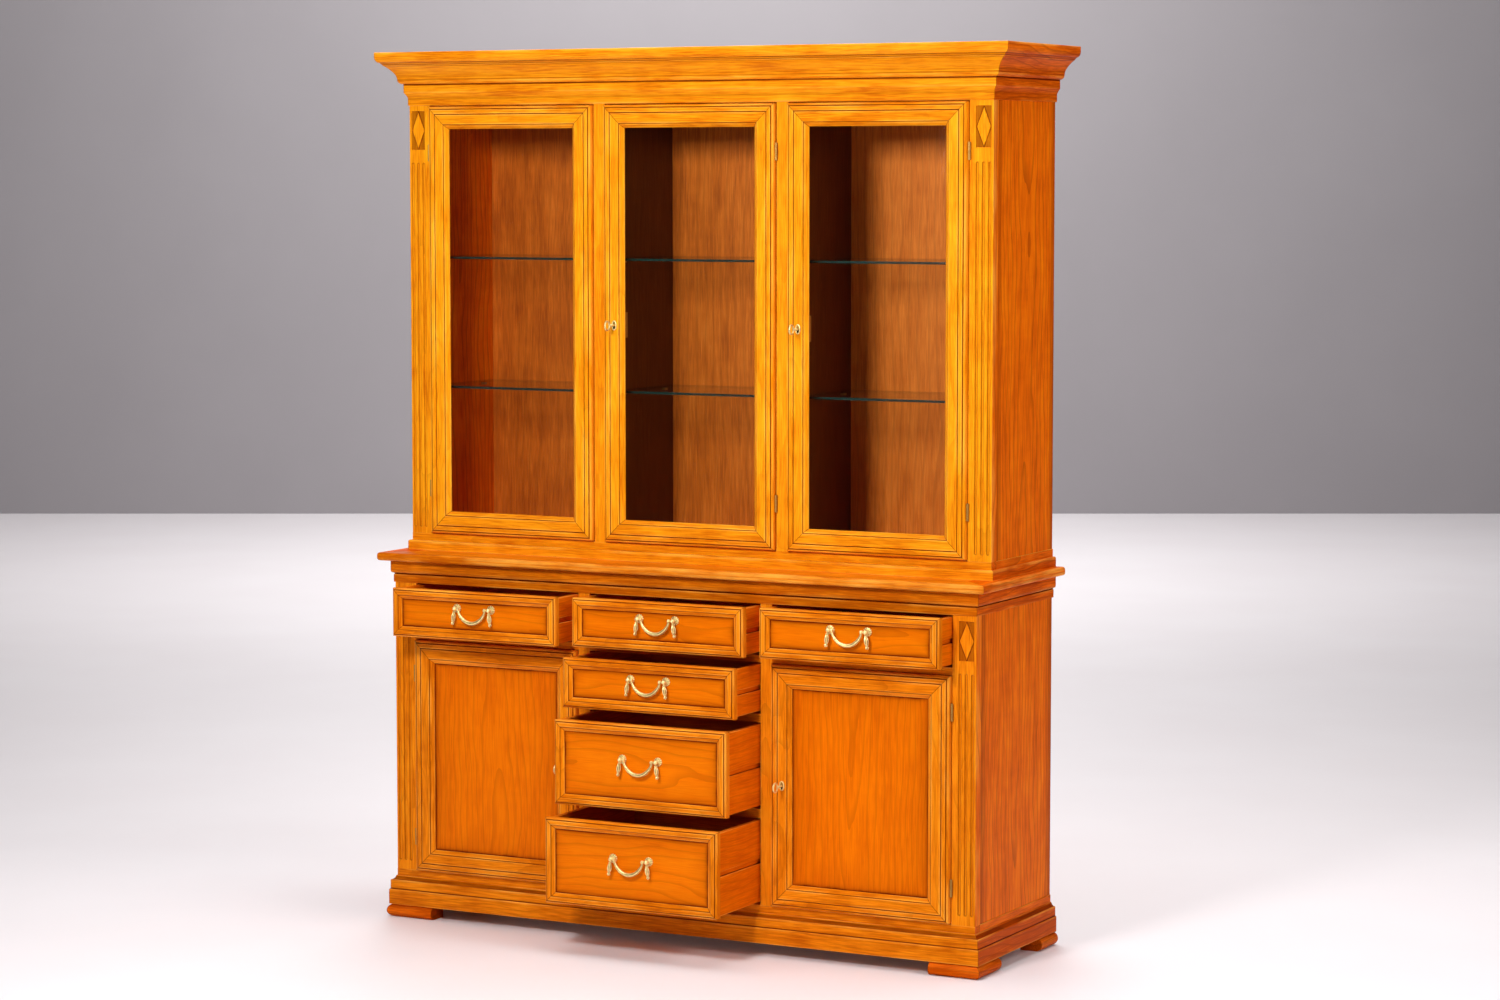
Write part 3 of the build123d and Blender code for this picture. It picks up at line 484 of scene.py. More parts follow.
class Recipe:
    """A material's nodes while they are being joined."""

    def __init__(self, name: str) -> None:
        """Makes an empty node material.

        Args:
            name: the material's name.
        """
        self.material = bpy.data.materials.new(name)
        self.material.use_nodes = True
        self.material.node_tree.nodes.clear()

    def add(self, kind: str, inputs: dict[Any, Any], **settings: Any) -> bpy.types.Node:
        """Adds a node, sets its settings, and links or sets its inputs.

        Args:
            kind: the node's type, without ShaderNode in front.
            inputs: for each socket, the output that feeds it or its value.
            settings: the node's own settings.

        Returns:
            The node.
        """
        tree = self.material.node_tree
        node = tree.nodes.new("ShaderNode" + kind)
        for key, value in settings.items():
            setattr(node, key, value)
        for socket, value in inputs.items():
            if isinstance(value, bpy.types.NodeSocket):
                tree.links.new(value, node.inputs[socket])
            else:
                node.inputs[socket].default_value = value
        return node

    def spot(self) -> bpy.types.NodeSocket:
        """Returns the place on the object in metres."""
        return self.add("TexCoord", {}).outputs["Object"]

    def mark(self, name: str, output: str = "Fac") -> bpy.types.NodeSocket:
        """Returns what the piece has marked at the place under that name."""
        return self.add("Attribute", {}, attribute_name=name).outputs[output]

    def noise(self, place: Any, scale: float, detail: float, output: Any = 0) -> bpy.types.NodeSocket:
        """Returns soft clouds of that scale, from 0 to 1."""
        return self.add("TexNoise", {"Vector": place, "Scale": scale, "Detail": detail}).outputs[output]

    def ranged(self, value: Any, given: Span, wanted: Span = (0.0, 1.0)) -> bpy.types.NodeSocket:
        """Returns a value carried from one range to another, and kept within it."""
        ends = zip(("From Min", "From Max", "To Min", "To Max"), (*given, *wanted))
        return self.add("MapRange", {"Value": value, **dict(ends)}).outputs[0]

    def sum(self, operation: str, *values: Any, clamp: bool = False) -> bpy.types.NodeSocket:
        """Returns one step of arithmetic on numbers."""
        return self.add("Math", dict(enumerate(values)), operation=operation, use_clamp=clamp).outputs[0]

    def shift(self, operation: str, *values: Any) -> bpy.types.NodeSocket:
        """Returns one step of arithmetic on places."""
        return self.add("VectorMath", dict(enumerate(values)), operation=operation).outputs[0]

    def blend(self, share: Any, first: Any, second: Any, way: str = "MIX") -> bpy.types.NodeSocket:
        """Returns two colours mixed by a share."""
        return self.add("Mix", {0: share, 6: first, 7: second}, data_type="RGBA", blend_type=way).outputs[2]

    def finish(self, sockets: dict[str, Any]) -> bpy.types.Material:
        """Adds the shader and joins it to the material's output.

        Args:
            sockets: for each of the shader's sockets, the output that feeds it or its value.

        Returns:
            The material.
        """
        shader = self.add("BsdfPrincipled", sockets)
        self.add("OutputMaterial", {"Surface": shader.outputs[0]})
        return self.material


class Source(Enum):
    """Where a wood finish reads its grain."""

    BOARD = "each board's own length, width and depth"
    UPRIGHT = "the object's height"


@dataclass(frozen=True)
class StainedWood:
    """Close-grained wood, stained amber, glazed dark in the hollows where painted shade darkens it too, rubbed light
    on the edges where a painted highlight lies too, and lacquered.

    Growth lines come out as thin curved outlines, fibres as short streaks, and slow waves across the grain
    catch the light as a soft mottle. Widths and lengths are in millimetres. The weights say how much each
    pattern adds to the tone, which runs from dark to light about balance.
    """

    name: str
    light: str
    middle: str
    dark: str
    line: str
    # The glaze colour darkens hollows as glaze and painted shade; the rubbed colour lightens edges as wear and
    # painted highlight.
    glaze_and_shade: str = "#744034"
    rubbed_and_highlight: str = "#FFC458"
    sheen: str = "#FF9430"
    source: Source = Source.BOARD
    ring_width: float = 10.0
    fibre_width: float = 2.6
    fibre_length: float = 55.0
    mottle_size: tuple[float, float] = (150.0, 34.0)
    curl_size: tuple[float, float] = (26.0, 120.0)
    mottle_weight: float = 0.7
    curl_weight: float = 0.14
    board_weight: float = 0.16
    balance: float = 0.92
    line_share: float = 0.3
    contrast: float = 1.0
    gloss: float = 0.34
    shine: float = 0.2

    def make(self) -> bpy.types.Material:
        """Mixes the stain, the figure, the glaze and the lacquer.

        Returns:
            The finish as a material.
        """
        mix = Recipe(self.name)
        boards = self.source is Source.BOARD
        if boards:
            place = mix.mark("grain", "Vector")
        else:
            upright = {"Vector": mix.spot(), "Location": (0, 0.1, 0.2), "Rotation": (0, np.pi / 2, 0)}
            place = mix.add("Mapping", upright).outputs[0]
        fibre = self.patches(mix, place, (self.fibre_length, self.fibre_width), 5.0)
        mottle = self.patches(mix, place, self.mottle_size, 4.0)
        curl = self.patches(mix, place, self.curl_size, 2.0)
        mixed = mix.sum("MULTIPLY_ADD", mottle, self.mottle_weight, fibre)
        mixed = mix.sum("MULTIPLY_ADD", curl, self.curl_weight, mixed)
        # tone holds each board's own random tone and its painted light and shade.
        mixed = mix.sum("MULTIPLY_ADD", mix.mark("tone"), self.board_weight, mixed)
        spread = 0.4 / self.contrast
        ramp = mix.add("ValToRGB", {0: mix.ranged(mixed, (self.balance - spread, self.balance + spread))})
        stops = ramp.color_ramp.elements
        stops[0].position, stops[0].color = 0.10, linear(self.dark)
        stops[1].position, stops[1].color = 0.90, linear(self.light)
        stops.new(0.5).color = linear(self.middle)
        late = mix.ranged(self.circles(mix, place), (0.70, 1.0), (0.0, self.line_share * 2.0))
        colour = mix.blend(mix.sum("MULTIPLY", late, fibre), ramp.outputs[0], linear(self.line))
        if boards:
            # Glaze and painted shade in the hollows, uneven with the mottle.
            uneven = mix.ranged(mottle, (0.3, 0.6), (1.0, 1.7))
            held = mix.sum("MULTIPLY", mix.mark("glaze_and_shade"), uneven, clamp=True)
            colour = mix.blend(held, colour, linear(self.glaze_and_shade), "MULTIPLY")
            # Rubbed wear and a painted highlight on the raised edges, uneven with the mottle.
            rub = mix.ranged(mottle, (0.4, 0.65), (0.0, 0.38))
            shown = mix.sum("MULTIPLY", mix.mark("worn_and_highlight"), rub, clamp=True)
            colour = mix.blend(shown, colour, linear(self.rubbed_and_highlight))
        return mix.finish(
            {
                "Base Color": colour,
                "Roughness": mix.ranged(fibre, (0.3, 0.7), (self.gloss + 0.06, self.gloss)),
                "Normal": mix.add("Bump", {"Height": fibre, "Strength": 0.12, "Distance": 0.0006}).outputs[0],
                "IOR": 1.5,
                "Specular IOR Level": self.shine,
                "Specular Tint": linear(self.sheen),
            }
        )

    def patches(self, mix: Recipe, place: Any, size: tuple[float, float], detail: float) -> bpy.types.NodeSocket:
        """Noise stretched along the grain.

        Args:
            mix: the material's nodes.
            place: the place in the board.
            size: length and width of its patches in millimetres.
            detail: how many finer layers it has.

        Returns:
            The noise, from 0 to 1.
        """
        along, across = 1 / (size[0] * MM), 1 / (size[1] * MM)
        return mix.noise(mix.shift("MULTIPLY", place, (along, across, across)), 1.0, detail)

    def circles(self, mix: Recipe, place: Any) -> bpy.types.NodeSocket:
        """Growth rings about the tree's middle, pushed aside by slow noise.

        Args:
            mix: the material's nodes.
            place: the place in the board.

        Returns:
            How far into its ring the place is, from 0 to 1.
        """
        wander = mix.noise(mix.shift("MULTIPLY", place, (2.2, 7.0, 7.0)), 1.0, 2.0, "Color")
        centred = mix.shift("SUBTRACT", wander, (0.5, 0.5, 0.5))
        moved = mix.shift("MULTIPLY_ADD", centred, (0.0, 0.075, 0.085), place)
        return mix.add(
            "TexWave",
            {"Vector": moved, "Scale": 0.314 / (self.ring_width * MM), "Distortion": 0.6, "Detail": 2.0},
            wave_type="RINGS",
            rings_direction="X",
            wave_profile="SAW",
        ).outputs["Fac"]


@dataclass(frozen=True)
class CastBrass:
    """Pale brass, cast and polished: bright on the raised parts and brown where polish can't reach."""

    name: str = "polished_cast_brass"
    bright: str = "#FFE9A0"
    dull: str = "#8A6424"
    roughness: float = 0.36

    def make(self, carved: bool = True) -> bpy.types.Material:
        """Mixes the metal and its tarnish.

        Args:
            carved: whether the piece marks its own hollows.

        Returns:
            The finish as a material.
        """
        mix = Recipe(self.name)
        cloud = mix.noise(mix.spot(), 220.0, 3.0)
        share = mix.ranged(cloud, (0.45, 0.8), (0.0, 0.35))
        if carved:
            share = mix.sum("MULTIPLY_ADD", mix.mark("glaze_and_shade"), 0.7, share)
        colour = mix.blend(share, linear(self.bright), linear(self.dull))
        rough = mix.ranged(cloud, (0.0, 1.0), (self.roughness, self.roughness + 0.12))
        return mix.finish({"Base Color": colour, "Metallic": 0.8, "Roughness": rough})


@dataclass(frozen=True)
class FloatGlass:
    """Flat glass, seen through with a faint tint; its polished edges look deep green."""

    name: str
    tint: str
    clear: float
    roughness: float = 0.03

    def make(self) -> bpy.types.Material:
        """Mixes the tint and the faint unevenness of its gloss.

        Returns:
            The finish as a material.
        """
        mix = Recipe(self.name)
        cloud = mix.noise(mix.spot(), 9.0, 2.0)
        rough = mix.ranged(cloud, (0.0, 1.0), (self.roughness, self.roughness + 0.03))
        return mix.finish(
            {"Base Color": linear(self.tint), "Roughness": rough, "IOR": 1.52, "Alpha": 1.0 - self.clear}
        )


@dataclass(frozen=True)
class BrightSteel:
    """Plain steel with the fine lines of grinding, as lock bolts have."""

    name: str = "ground_steel"
    colour: str = "#A9A9A6"
    shade: str = "#8C8B88"

    def make(self) -> bpy.types.Material:
        """Mixes the metal and its grinding lines.

        Returns:
            The finish as a material.
        """
        mix = Recipe(self.name)
        lines = mix.add("Mapping", {"Vector": mix.spot(), "Scale": (60.0, 900.0, 900.0)}).outputs[0]
        cloud = mix.noise(lines, 1.0, 2.0)
        rough = mix.ranged(cloud, (0.0, 1.0), (0.28, 0.42))
        colour = mix.blend(cloud, linear(self.colour), linear(self.shade))
        return mix.finish({"Base Color": colour, "Metallic": 1.0, "Roughness": rough})


@dataclass
class Finishes:
    """Every finish of the cabinet, made once, with what it gives the eye."""

    # Yellow amber with dark pen lines: the brightest wood, on the glazed half's front.
    amber: bpy.types.Material
    # The same stain a little browner, on the lower half's front.
    honey: bpy.types.Material
    # Even orange, calm enough for the frames round it to stand out.
    panel: bpy.types.Material
    # Deep red orange with broad figure: a darker copy of the stain, painted shade for faces turned from the front
    # light, on the sides, feet, returns and every face that turns left or right.
    side: bpy.types.Material
    # Soft brown with a warm gloss, seen through the panes.
    inside: bpy.types.Material
    # Near-black brown, painted shade: the dividers stand in the deepest shade.
    divider: bpy.types.Material
    # Unpolished brown of boards that are seldom seen.
    hidden: bpy.types.Material
    # Pale gold that sparkles on the pulls and keys.
    brass: bpy.types.Material
    # Dull brown gold of hinges and lock plates.
    plain_brass: bpy.types.Material
    # Cool grey of the bolts.
    steel: bpy.types.Material
    # Painted shade for the dark inside of a keyhole.
    keyhole_shade: bpy.types.Material
    # A pane that hardly tints what is behind it.
    pane: bpy.types.Material
    # A shelf with a faint green tint.
    shelf: bpy.types.Material
    # The thin dark green line along a shelf's front.
    shelf_edge: bpy.types.Material


def make_finishes() -> Finishes:
    """Mixes the stains, metals and glass.

    Returns:
        The finishes.
    """
    amber = StainedWood("amber_stained_wood", "#FCAE1C", "#F09410", "#CC6806", "#A04C04", line_share=0.22)
    honey = StainedWood("honey_stained_wood", "#F49618", "#E67E0C", "#BC5804", "#8C3A02", line_share=0.25)
    panel = StainedWood(
        "amber_stained_panel", "#F58206", "#EA7202", "#CC5702", "#9A3C02", contrast=0.7, ring_width=15.0
    )
    # Painted shade: a darker, redder copy of the stain for faces turned from the front.
    side = StainedWood(
        "amber_side_painted_shade",
        *("#FC8408", "#EA6804", "#C04A02", "#7A2A02"),
        line_share=0.45,
        contrast=0.95,
        ring_width=17.0,
        shine=0.02,
    )
    inside = StainedWood(
        "brown_stained_inside",
        *("#E8842A", "#CE6A18", "#9E480C", "#642805"),
        sheen="#FFB478",
        line_share=0.24,
        contrast=0.9,
        ring_width=22.0,
        gloss=0.42,
        shine=0.95,
    )
    # Painted shade: the dividers are near black as they stand in the deepest shade.
    divider = StainedWood("divider_painted_shade", "#743A10", "#5E2C08", "#431C04", "#291002", contrast=0.7)
    hidden = StainedWood("brown_stained_boards", "#C8702A", "#A85A1C", "#844210", "#58280A", source=Source.UPRIGHT)
    return Finishes(
        amber=amber.make(),
        honey=honey.make(),
        panel=panel.make(),
        side=side.make(),
        inside=inside.make(),
        divider=divider.make(),
        hidden=hidden.make(),
        brass=CastBrass().make(),
        plain_brass=CastBrass("antiqued_brass", "#B58A44", "#6A4A1E", 0.42).make(carved=False),
        steel=BrightSteel().make(),
        # Painted shade: a near-black plate stands for the keyhole's dark inside.
        keyhole_shade=BrightSteel("keyhole_painted_shade", "#1C1510", "#100B08").make(),
        pane=FloatGlass("clear_pane_glass", "#10140F", 0.96).make(),
        shelf=FloatGlass("clear_shelf_glass", "#1C3A30", 0.88).make(),
        shelf_edge=FloatGlass("polished_glass_edge", "#0A2C26", 0.08, 0.2).make(),
    )


# ---------------------------------------------------------------- profiles
def cornice_profile() -> Profile:
    """Returns the cornice: fascia, small cove, frieze band, bead, large cove and ovolo."""
    sweep_in = np.linspace(0.0, 1.0, 7)
    small = [(2.5 + 7.5 * s**1.4, 17 + 14 * s, 0.0) for s in sweep_in]
    large = [(21.5 + 21.5 * s**1.7, 65 + 29 * s, 0.0) for s in np.linspace(0.0, 1.0, 10)]
    ovolo = [(51.5 + 9.5 * np.sin(s * np.pi / 2), 102 + 14 * (1 - np.cos(s * np.pi / 2)), 0.0) for s in sweep_in]
    return outline(
        [(0, 127, 0), (0, 0, 0), (2.5, 0, 0.8), *small, (10, 51, 0), (14, 52, 1.0), (17.5, 54, 1.0)]
        + [(20.8, 58, 2.5), (20.8, 62.5, 1.5), *large, (46, 95.5, 0.8), (46.5, 97, 0.4), *ovolo, (61, 127, 1.5)],
        shade=4.5,
    )


def frieze_profile() -> Profile:
    """Returns a flat lower band, a quirk and a wider band."""
    return outline(
        [(0, 0, 0), (2.5, 0, 0.5), (2.5, 18, 0.8), (0.6, 20.3, 0), (2.6, 22.3, 0.5), (7, 23.8, 1.5), (8, 28, 1)]
        + [(8, 53, 0), (0, 53, 0)]
    )


def plinth_profile() -> Profile:
    """Returns the step under the glazed top, rounded along its upper edge."""
    return outline([(0, 23, 0), (0, 0, 0), (8, 0, 0), (8, 23, 5.0)])


def base_profile() -> Profile:
    """Returns two bands and a cove at the foot of the base."""
    return outline(
        [(0, 70, 0), (0, 0, 0), (15.5, 0, 1), (15.5, 36, 1), (12.6, 38, 0), (12.5, 59.5, 1.2), (7.6, 61, 1.5)]
        + [(4, 64.5, 3), (2, 70, 0)]
    )


def foot_profile() -> Profile:
    """Returns a block with a half-round nose."""
    turn = np.linspace(-np.pi / 2, np.pi / 2, 13)
    nose = [(4.5 + 15.5 * np.cos(a), 15.5 + 15.5 * np.sin(a), 0.0) for a in turn]
    return outline([(-35, 31, 0), (-35, 0, 0), *nose])


def lip_profile() -> Profile:
    """Returns the worktop's edge, rounded above and below."""
    return outline([(-40, 0, 0), (31.5, 0, 7.5), (31.5, 20, 7.5), (-40, 20, 0)], steps=7)


def door_profile(seat: float) -> Profile:
    """A door member from its outer edge inward: thumbnail, band, quirk, flat, step, bevel and rebate.

    Args:
        seat: how far in front of the door's back its glass or panel lies.

    Returns:
        The outline.
    """
    return outline(
        [(0, 0, 0.5), (0, 15.5, 4.0), (2.6, 19.8, 3.0), (7.4, 20.4, 0.3), (8.2, 22, 0.7), (17.2, 22, 0.8)]
        + [(19, 19.6, 0), (20.8, 22, 0.8), (43, 22, 0.7), (43.8, 20.2, 0.2), (46, 20.0, 1.5)]
        + [(MEMBER, seat + 2.5, 0.5), (MEMBER, seat, 0), (MEMBER - 7, seat, 0), (MEMBER - 7, 0, 0)]
    )


def front_profile() -> Profile:
    """Returns a drawer front's member: thumbnail, fine step, flat face, bevel and rebate."""
    return outline(
        [(0, 0, 0.5), (0, 14.5, 3.0), (1.6, 17.8, 2.0), (5.4, 18.2, 0.2), (6, 20, 0.6), (15.6, 20, 0.6)]
        + [(16.2, 18.6, 0.2), (25, 13, 0.4), (25, 12, 0), (20, 12, 0), (20, 0, 0)]
    )


def framed(
    profile: Profile, low: np.ndarray, high: np.ndarray, back: float, first: int, shade: float = 0.0
) -> list[Patch]:
    """Four mitred members round a rectangle.

    Args:
        profile: the member, running inward from its outer edge.
        low: lowest X and Z in metres.
        high: highest X and Z.
        back: Y of the members' back.
        first: number of the first board.
        shade: how light its stiles are; its rails are painted darker, painted shade.

    Returns:
        The bottom, top, left and right members.
    """
    width, height = high - low
    x, z = (low + high) / 2
    # The mitres hold dark glaze; the rails are painted darker than the stiles, painted shade.
    mitre, glaze_and_shade, darker = (-1.0, -1.0), 0.55, 0.6
    places = [
        ((x, back, low[1]), width, UP, shade - darker),
        ((x, back, high[1]), width, -UP, shade - darker),
        ((low[0], back, z), height, RIGHT, shade),
        ((high[0], back, z), height, -RIGHT, shade),
    ]
    return [
        sweep(profile, np.array(middle), length, out, FORWARD, mitre, Board(first + number, shade=tone), glaze_and_shade)
        for number, (middle, length, out, tone) in enumerate(places)
    ]


def spaced(length: float, border: float, fine: float, count: int = 8) -> np.ndarray:
    """Places from 0 to a length, close together at both ends.

    Args:
        length: the last place.
        border: width of each end.
        fine: step in the ends.
        count: number of places between them.

    Returns:
        The places.
    """
    edge = np.arange(0.0, border, fine)
    return np.concatenate([edge, np.linspace(border, length - border, count), length - edge[::-1]])


def panel(low: np.ndarray, high: np.ndarray, face: float, thick: float, hidden: float, board: Board) -> Patch:
    """A flat panel darkened towards the frame round it by glaze and painted shade.

    The glaze and painted shade at a distance d from the frame is 0.7 e^(-d / 3.5 mm) + 0.2 e^(-d / 35 mm).

    Args:
        low: lowest X and Z in metres.
        high: highest X and Z.
        face: Y of its front.
        thick: its thickness.
        hidden: width of its edge under the frame.
        board: where the wood was sawn.

    Returns:
        The panel.
    """
    width, height = high - low
    across, along = spaced(width, 0.026, 0.002, 24), spaced(height, 0.026, 0.002, 24)
    nearest = np.minimum(np.minimum(across, width - across)[:, None], np.minimum(along, height - along)[None, :])
    clear = np.clip(nearest - hidden, 0, None)
    # Glaze and painted shade towards the frame.
    glaze_and_shade = 0.7 * np.exp(-clear / 0.0035) + 0.2 * np.exp(-clear / 0.035)
    plain = np.zeros_like(glaze_and_shade)
    corner = np.array([low[0], face, low[1]])
    return slab(across, along, plain, (glaze_and_shade, plain), corner, RIGHT, FORWARD, thick, board)


# ---------------------------------------------------------------- the cabinet's fixed parts
@dataclass(frozen=True)
class Carving:
    """What is cut into a corner post, in millimetres from its middle line."""

    middle: float = 748.5
    width: float = 59.0
    flutes: tuple[float, ...] = (-15.3, 0.0, 15.3)
    flute_half: float = 3.5
    flute_depth: float = 2.6
    field_half: float = 19.0
    field_depth: float = 2.5
    lozenge_half: float = 18.0


@dataclass
class Case:
    """One carcase: what its glazed or panelled half is fixed to.

    half is half its width, frame is the face frame's thickness, and pitch is the distance between the middles
    of two columns, each of which opens to opening on both sides of its middle. pocket, mortises and
    bolt_heights bound the mortises of the lock bolts, in depth behind the front, width and height.
    """

    level: str
    depth: float
    rail_bottom: float
    rail_top: float
    stile_top: float
    half: float = 773.0
    frame: float = 28.0
    pitch: float = 486.0
    opening: float = 228.0
    board: float = 18.0
    side_board: float = 20.0
    side_inset: float = 2.0
    pocket: Span = (11.5, 19.5)
    mortises: tuple[Span, Span] = ((-258.0, -248.0), (248.0, 258.0))
    bolt_heights: Span = (416.5, 428.5)
    carving: Carving = Carving()
    back: float = field(default=0.0, init=False)

    def __post_init__(self) -> None:
        """Reads where the cabinet's back is."""
        self.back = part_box("cornice")[1].y

    def y(self, depth: float) -> float:
        """Returns Y of a depth in millimetres."""
        return self.back - depth * MM

    def inside(self) -> Span:
        """Returns the depths between the back panel and the face frame."""
        return (10.0, self.depth - self.frame)

    def faces(self) -> Span:
        """Returns the depths of the face frame's back and front."""
        return (self.depth - self.frame, self.depth)

    def divider(self, sign: int) -> Span:
        """Returns where the divider on that side begins and ends."""
        return (sign * (self.pitch - self.board) / 2, sign * (self.pitch + self.board) / 2)

    def edge(self, sign: int) -> Span:
        """Returns where the rail along that side begins and ends."""
        return (sign * (self.half - self.side_board), sign * self.half)

    def piece(self, xs: Span, depths: Span, zs: Span, along: int, number: int, heart: float = 70.0) -> Patch:
        """A plain board; level ones are painted darker than upright ones, painted shade for how their fibres take the
        light.

        Args:
            xs: its two sides in millimetres, in either order.
            depths: its two depths, in either order.
            zs: its underside and top.
            along: 0, 1 or 2 for grain along X, Y or Z.
            number: the board's number.
            heart: how far from the tree's middle it was sawn.

        Returns:
            The board.
        """
        low = (min(xs) * MM, self.y(max(depths)), zs[0] * MM)
        high = (max(xs) * MM, self.y(min(depths)), zs[1] * MM)
        # Level boards are painted darker: painted shade.
        return plank(low, high, along, Board(number, heart, shade=0.0 if along == 2 else -0.55))

    def board_side(self, sign: int, heights: Span, number: int) -> Patch:
        """A wide outer side whose figure faces outward.

        Its glaze and painted shade at a distance d from its front or rear edge is 0.4 e^(-d / 4 mm).

        Args:
            sign: -1 for the left side and 1 for the right.
            heights: its lower and upper end in millimetres.
            number: the board's number.

        Returns:
            The side.
        """
        deep, tall = (self.depth - self.frame) * MM, (heights[1] - heights[0]) * MM
        across, along = np.linspace(0, deep, 12), np.linspace(0, tall, 12)
        plain = np.zeros((12, 12))
        glaze_and_shade = np.exp(-np.minimum(across, deep - across)[:, None] / 0.004) * 0.4 + plain
        sideways = np.array([0.0, float(sign), 0.0])
        start = self.y(self.depth - self.frame) if sign > 0 else self.y(0)
        corner = np.array([sign * (self.half - self.side_inset) * MM, start, heights[0] * MM])
        thick, board = self.side_board * MM, Board(number, 34)
        return slab(across, along, plain, (glaze_and_shade, plain), corner, sideways, RIGHT * sign, thick, board)

    def wrapped(
        self, profile: Profile, height: float, first: int, shades: Span = (-0.55, -1.0), joint: float = 0.4
    ) -> list[Patch]:
        """A moulding across the front and along both sides, mitred at the front corners.

        Args:
            profile: the moulding's outline.
            height: height of its origin in millimetres.
            first: number of the first board.
            shades: how light the front length and the side lengths are; below 0 this is painted shade.
            joint: glaze in the mitres.

        Returns:
            The front, right and left lengths.
        """
        half, front, deep = self.half * MM, self.y(self.depth), self.depth * MM
        middle_y, z = self.y(self.depth / 2), height * MM
        facing, returns = Board(first, shade=shades[0]), [Board(first + n, shade=shades[1]) for n in (1, 2)]
        return [
            sweep(profile, np.array([0, front, z]), 2 * half, FORWARD, UP, (1, 1), facing, joint),
            sweep(profile, np.array([half, middle_y, z]), deep, RIGHT, UP, (0, 1), returns[0], joint),
            sweep(profile, np.array([-half, middle_y, z]), deep, -RIGHT, UP, (1, 0), returns[1], joint),
        ]

    def mould(self, name: str, lengths: list[Patch], looks: Finishes, node: str) -> None:
        """Shows a moulding: its front length in the case's stain, its side lengths in the side finish, which is
        painted shade.

        Args:
            name: what the pieces' names begin with.
            lengths: the front length or lengths, then the two side ones.
            looks: the finishes.
            node: the node that the front length stands for.
        """
        front = looks.amber if self.level == "upper" else looks.honey
        show(f"{name}_front", lengths[:-2], front, FIXED, [node])
        show(f"{name}_returns", lengths[-2:], looks.side, FIXED)

    def posts(self, flutes: Span, lozenge: Span, first: int) -> list[Patch]:
        """Both corner posts, with three stopped flutes and a lozenge in a sunk rectangle.

        A flute's depth is a half circle of its width, cut across and round its ends; the lozenge is a low
        pyramid that rises from the rectangle's floor.

        Args:
            flutes: lowest and highest point of the flutes.
            lozenge: lowest and highest point of the sunk rectangle.
            first: number of the first board.

        Returns:
            The left and right post.
        """
        low, high, cut = self.rail_top, self.stile_top, self.carving
        across = np.linspace(0.0, cut.width, 119)
        steps = [np.arange(low, high, 6.0), flutes[0] + np.linspace(-2, 8, 14), flutes[1] - np.linspace(-2, 8, 14)]
        steps += [np.linspace(lozenge[0] - 2, lozenge[1] + 2, 110), [high]]
        along = np.unique(np.round(np.concatenate(steps), 2))
        along = along[(along >= low) & (along <= high)]
        z = along[None, :]
        patches = []
        for side in (-1, 1):
            start = self.pitch + self.opening if side > 0 else -self.half
            x = (start + across)[:, None] - side * cut.middle
            relief, glaze_and_shade = np.zeros((len(across), len(along))), np.zeros((len(across), len(along)))
            for place in cut.flutes:
                inside = np.clip(z, flutes[0] + cut.flute_half, flutes[1] - cut.flute_half)
                reach = np.hypot(x - place, z - inside) / cut.flute_half
                relief -= cut.flute_depth * np.sqrt(np.clip(1 - reach**2, 0, 1))
                # Glaze and painted shade in the flutes.
                glaze_and_shade += np.exp(-(((reach - 0.75) / 0.4) ** 2)) * 0.34
            off, tall = np.abs(z - sum(lozenge) / 2), lozenge[1] - lozenge[0]
            border = np.maximum(np.abs(x) - cut.field_half, off - tall / 2)
            diamond = 1 - (np.abs(x) / cut.lozenge_half + off / (tall / 2 - 1))
            sunk = np.clip(-border / 0.8, 0, 1)
            raised = np.clip(diamond * 8.0, 0, 1) * 2.2 + np.clip(diamond, 0, 1) * 1.2
            relief += sunk * (np.minimum(raised, 3.0) - cut.field_depth)
            # Glaze and painted shade in the sunk field round the lozenge and at its foot.
            glaze_and_shade += sunk * np.where(diamond > 0.05, 0.0, 0.42) + np.exp(-((diamond / 0.06) ** 2)) * sunk * 0.3
            edges = np.minimum(across, cut.width - across)[:, None] + 0 * z
            # Wear and a painted highlight along both edges.
            worn_and_highlight = np.clip(1 - edges / 1.2, 0, 1)
            relief -= np.clip(1 - edges / 0.8, 0, 1) * 0.7
            marks, corner = (np.clip(glaze_and_shade, 0, 1), worn_and_highlight), np.array([start * MM, self.y(self.depth), 0.0])
            thick, board = self.frame * MM, Board(first + side)
            patches.append(slab(across * MM, along * MM, relief * MM, marks, corner, RIGHT, FORWARD, thick, board))
        return patches

    def stiles(self, first: int) -> list[Patch]:
        """Both stiles between the columns, built up round the mortises that take the lock bolts.

        Args:
            first: number of the middle board.

        Returns:
            The boards of both.
        """
        before, behind = self.depth - self.pocket[0], self.depth - self.pocket[1]
        rear, (low, high) = self.depth - self.frame, self.bolt_heights
        patches = []
        for side, pocket in zip((-1, 1), self.mortises):
            ends = sorted((side * self.opening, side * (self.pitch - self.opening)))
            beside = (ends[0], pocket[0]) if pocket[0] > ends[0] else (pocket[1], ends[1])
            places = [
                (ends, (before, self.depth), (self.rail_top, self.stile_top)),
                (ends, (rear, before), (self.rail_top, low)),
                (ends, (rear, before), (high, self.stile_top)),
                (ends, (rear, behind), (low, high)),
                (beside, (behind, before), (low, high)),
            ]
            patches += [self.piece(xs, depths, zs, 2, first + side) for xs, depths, zs in places]
        return patches


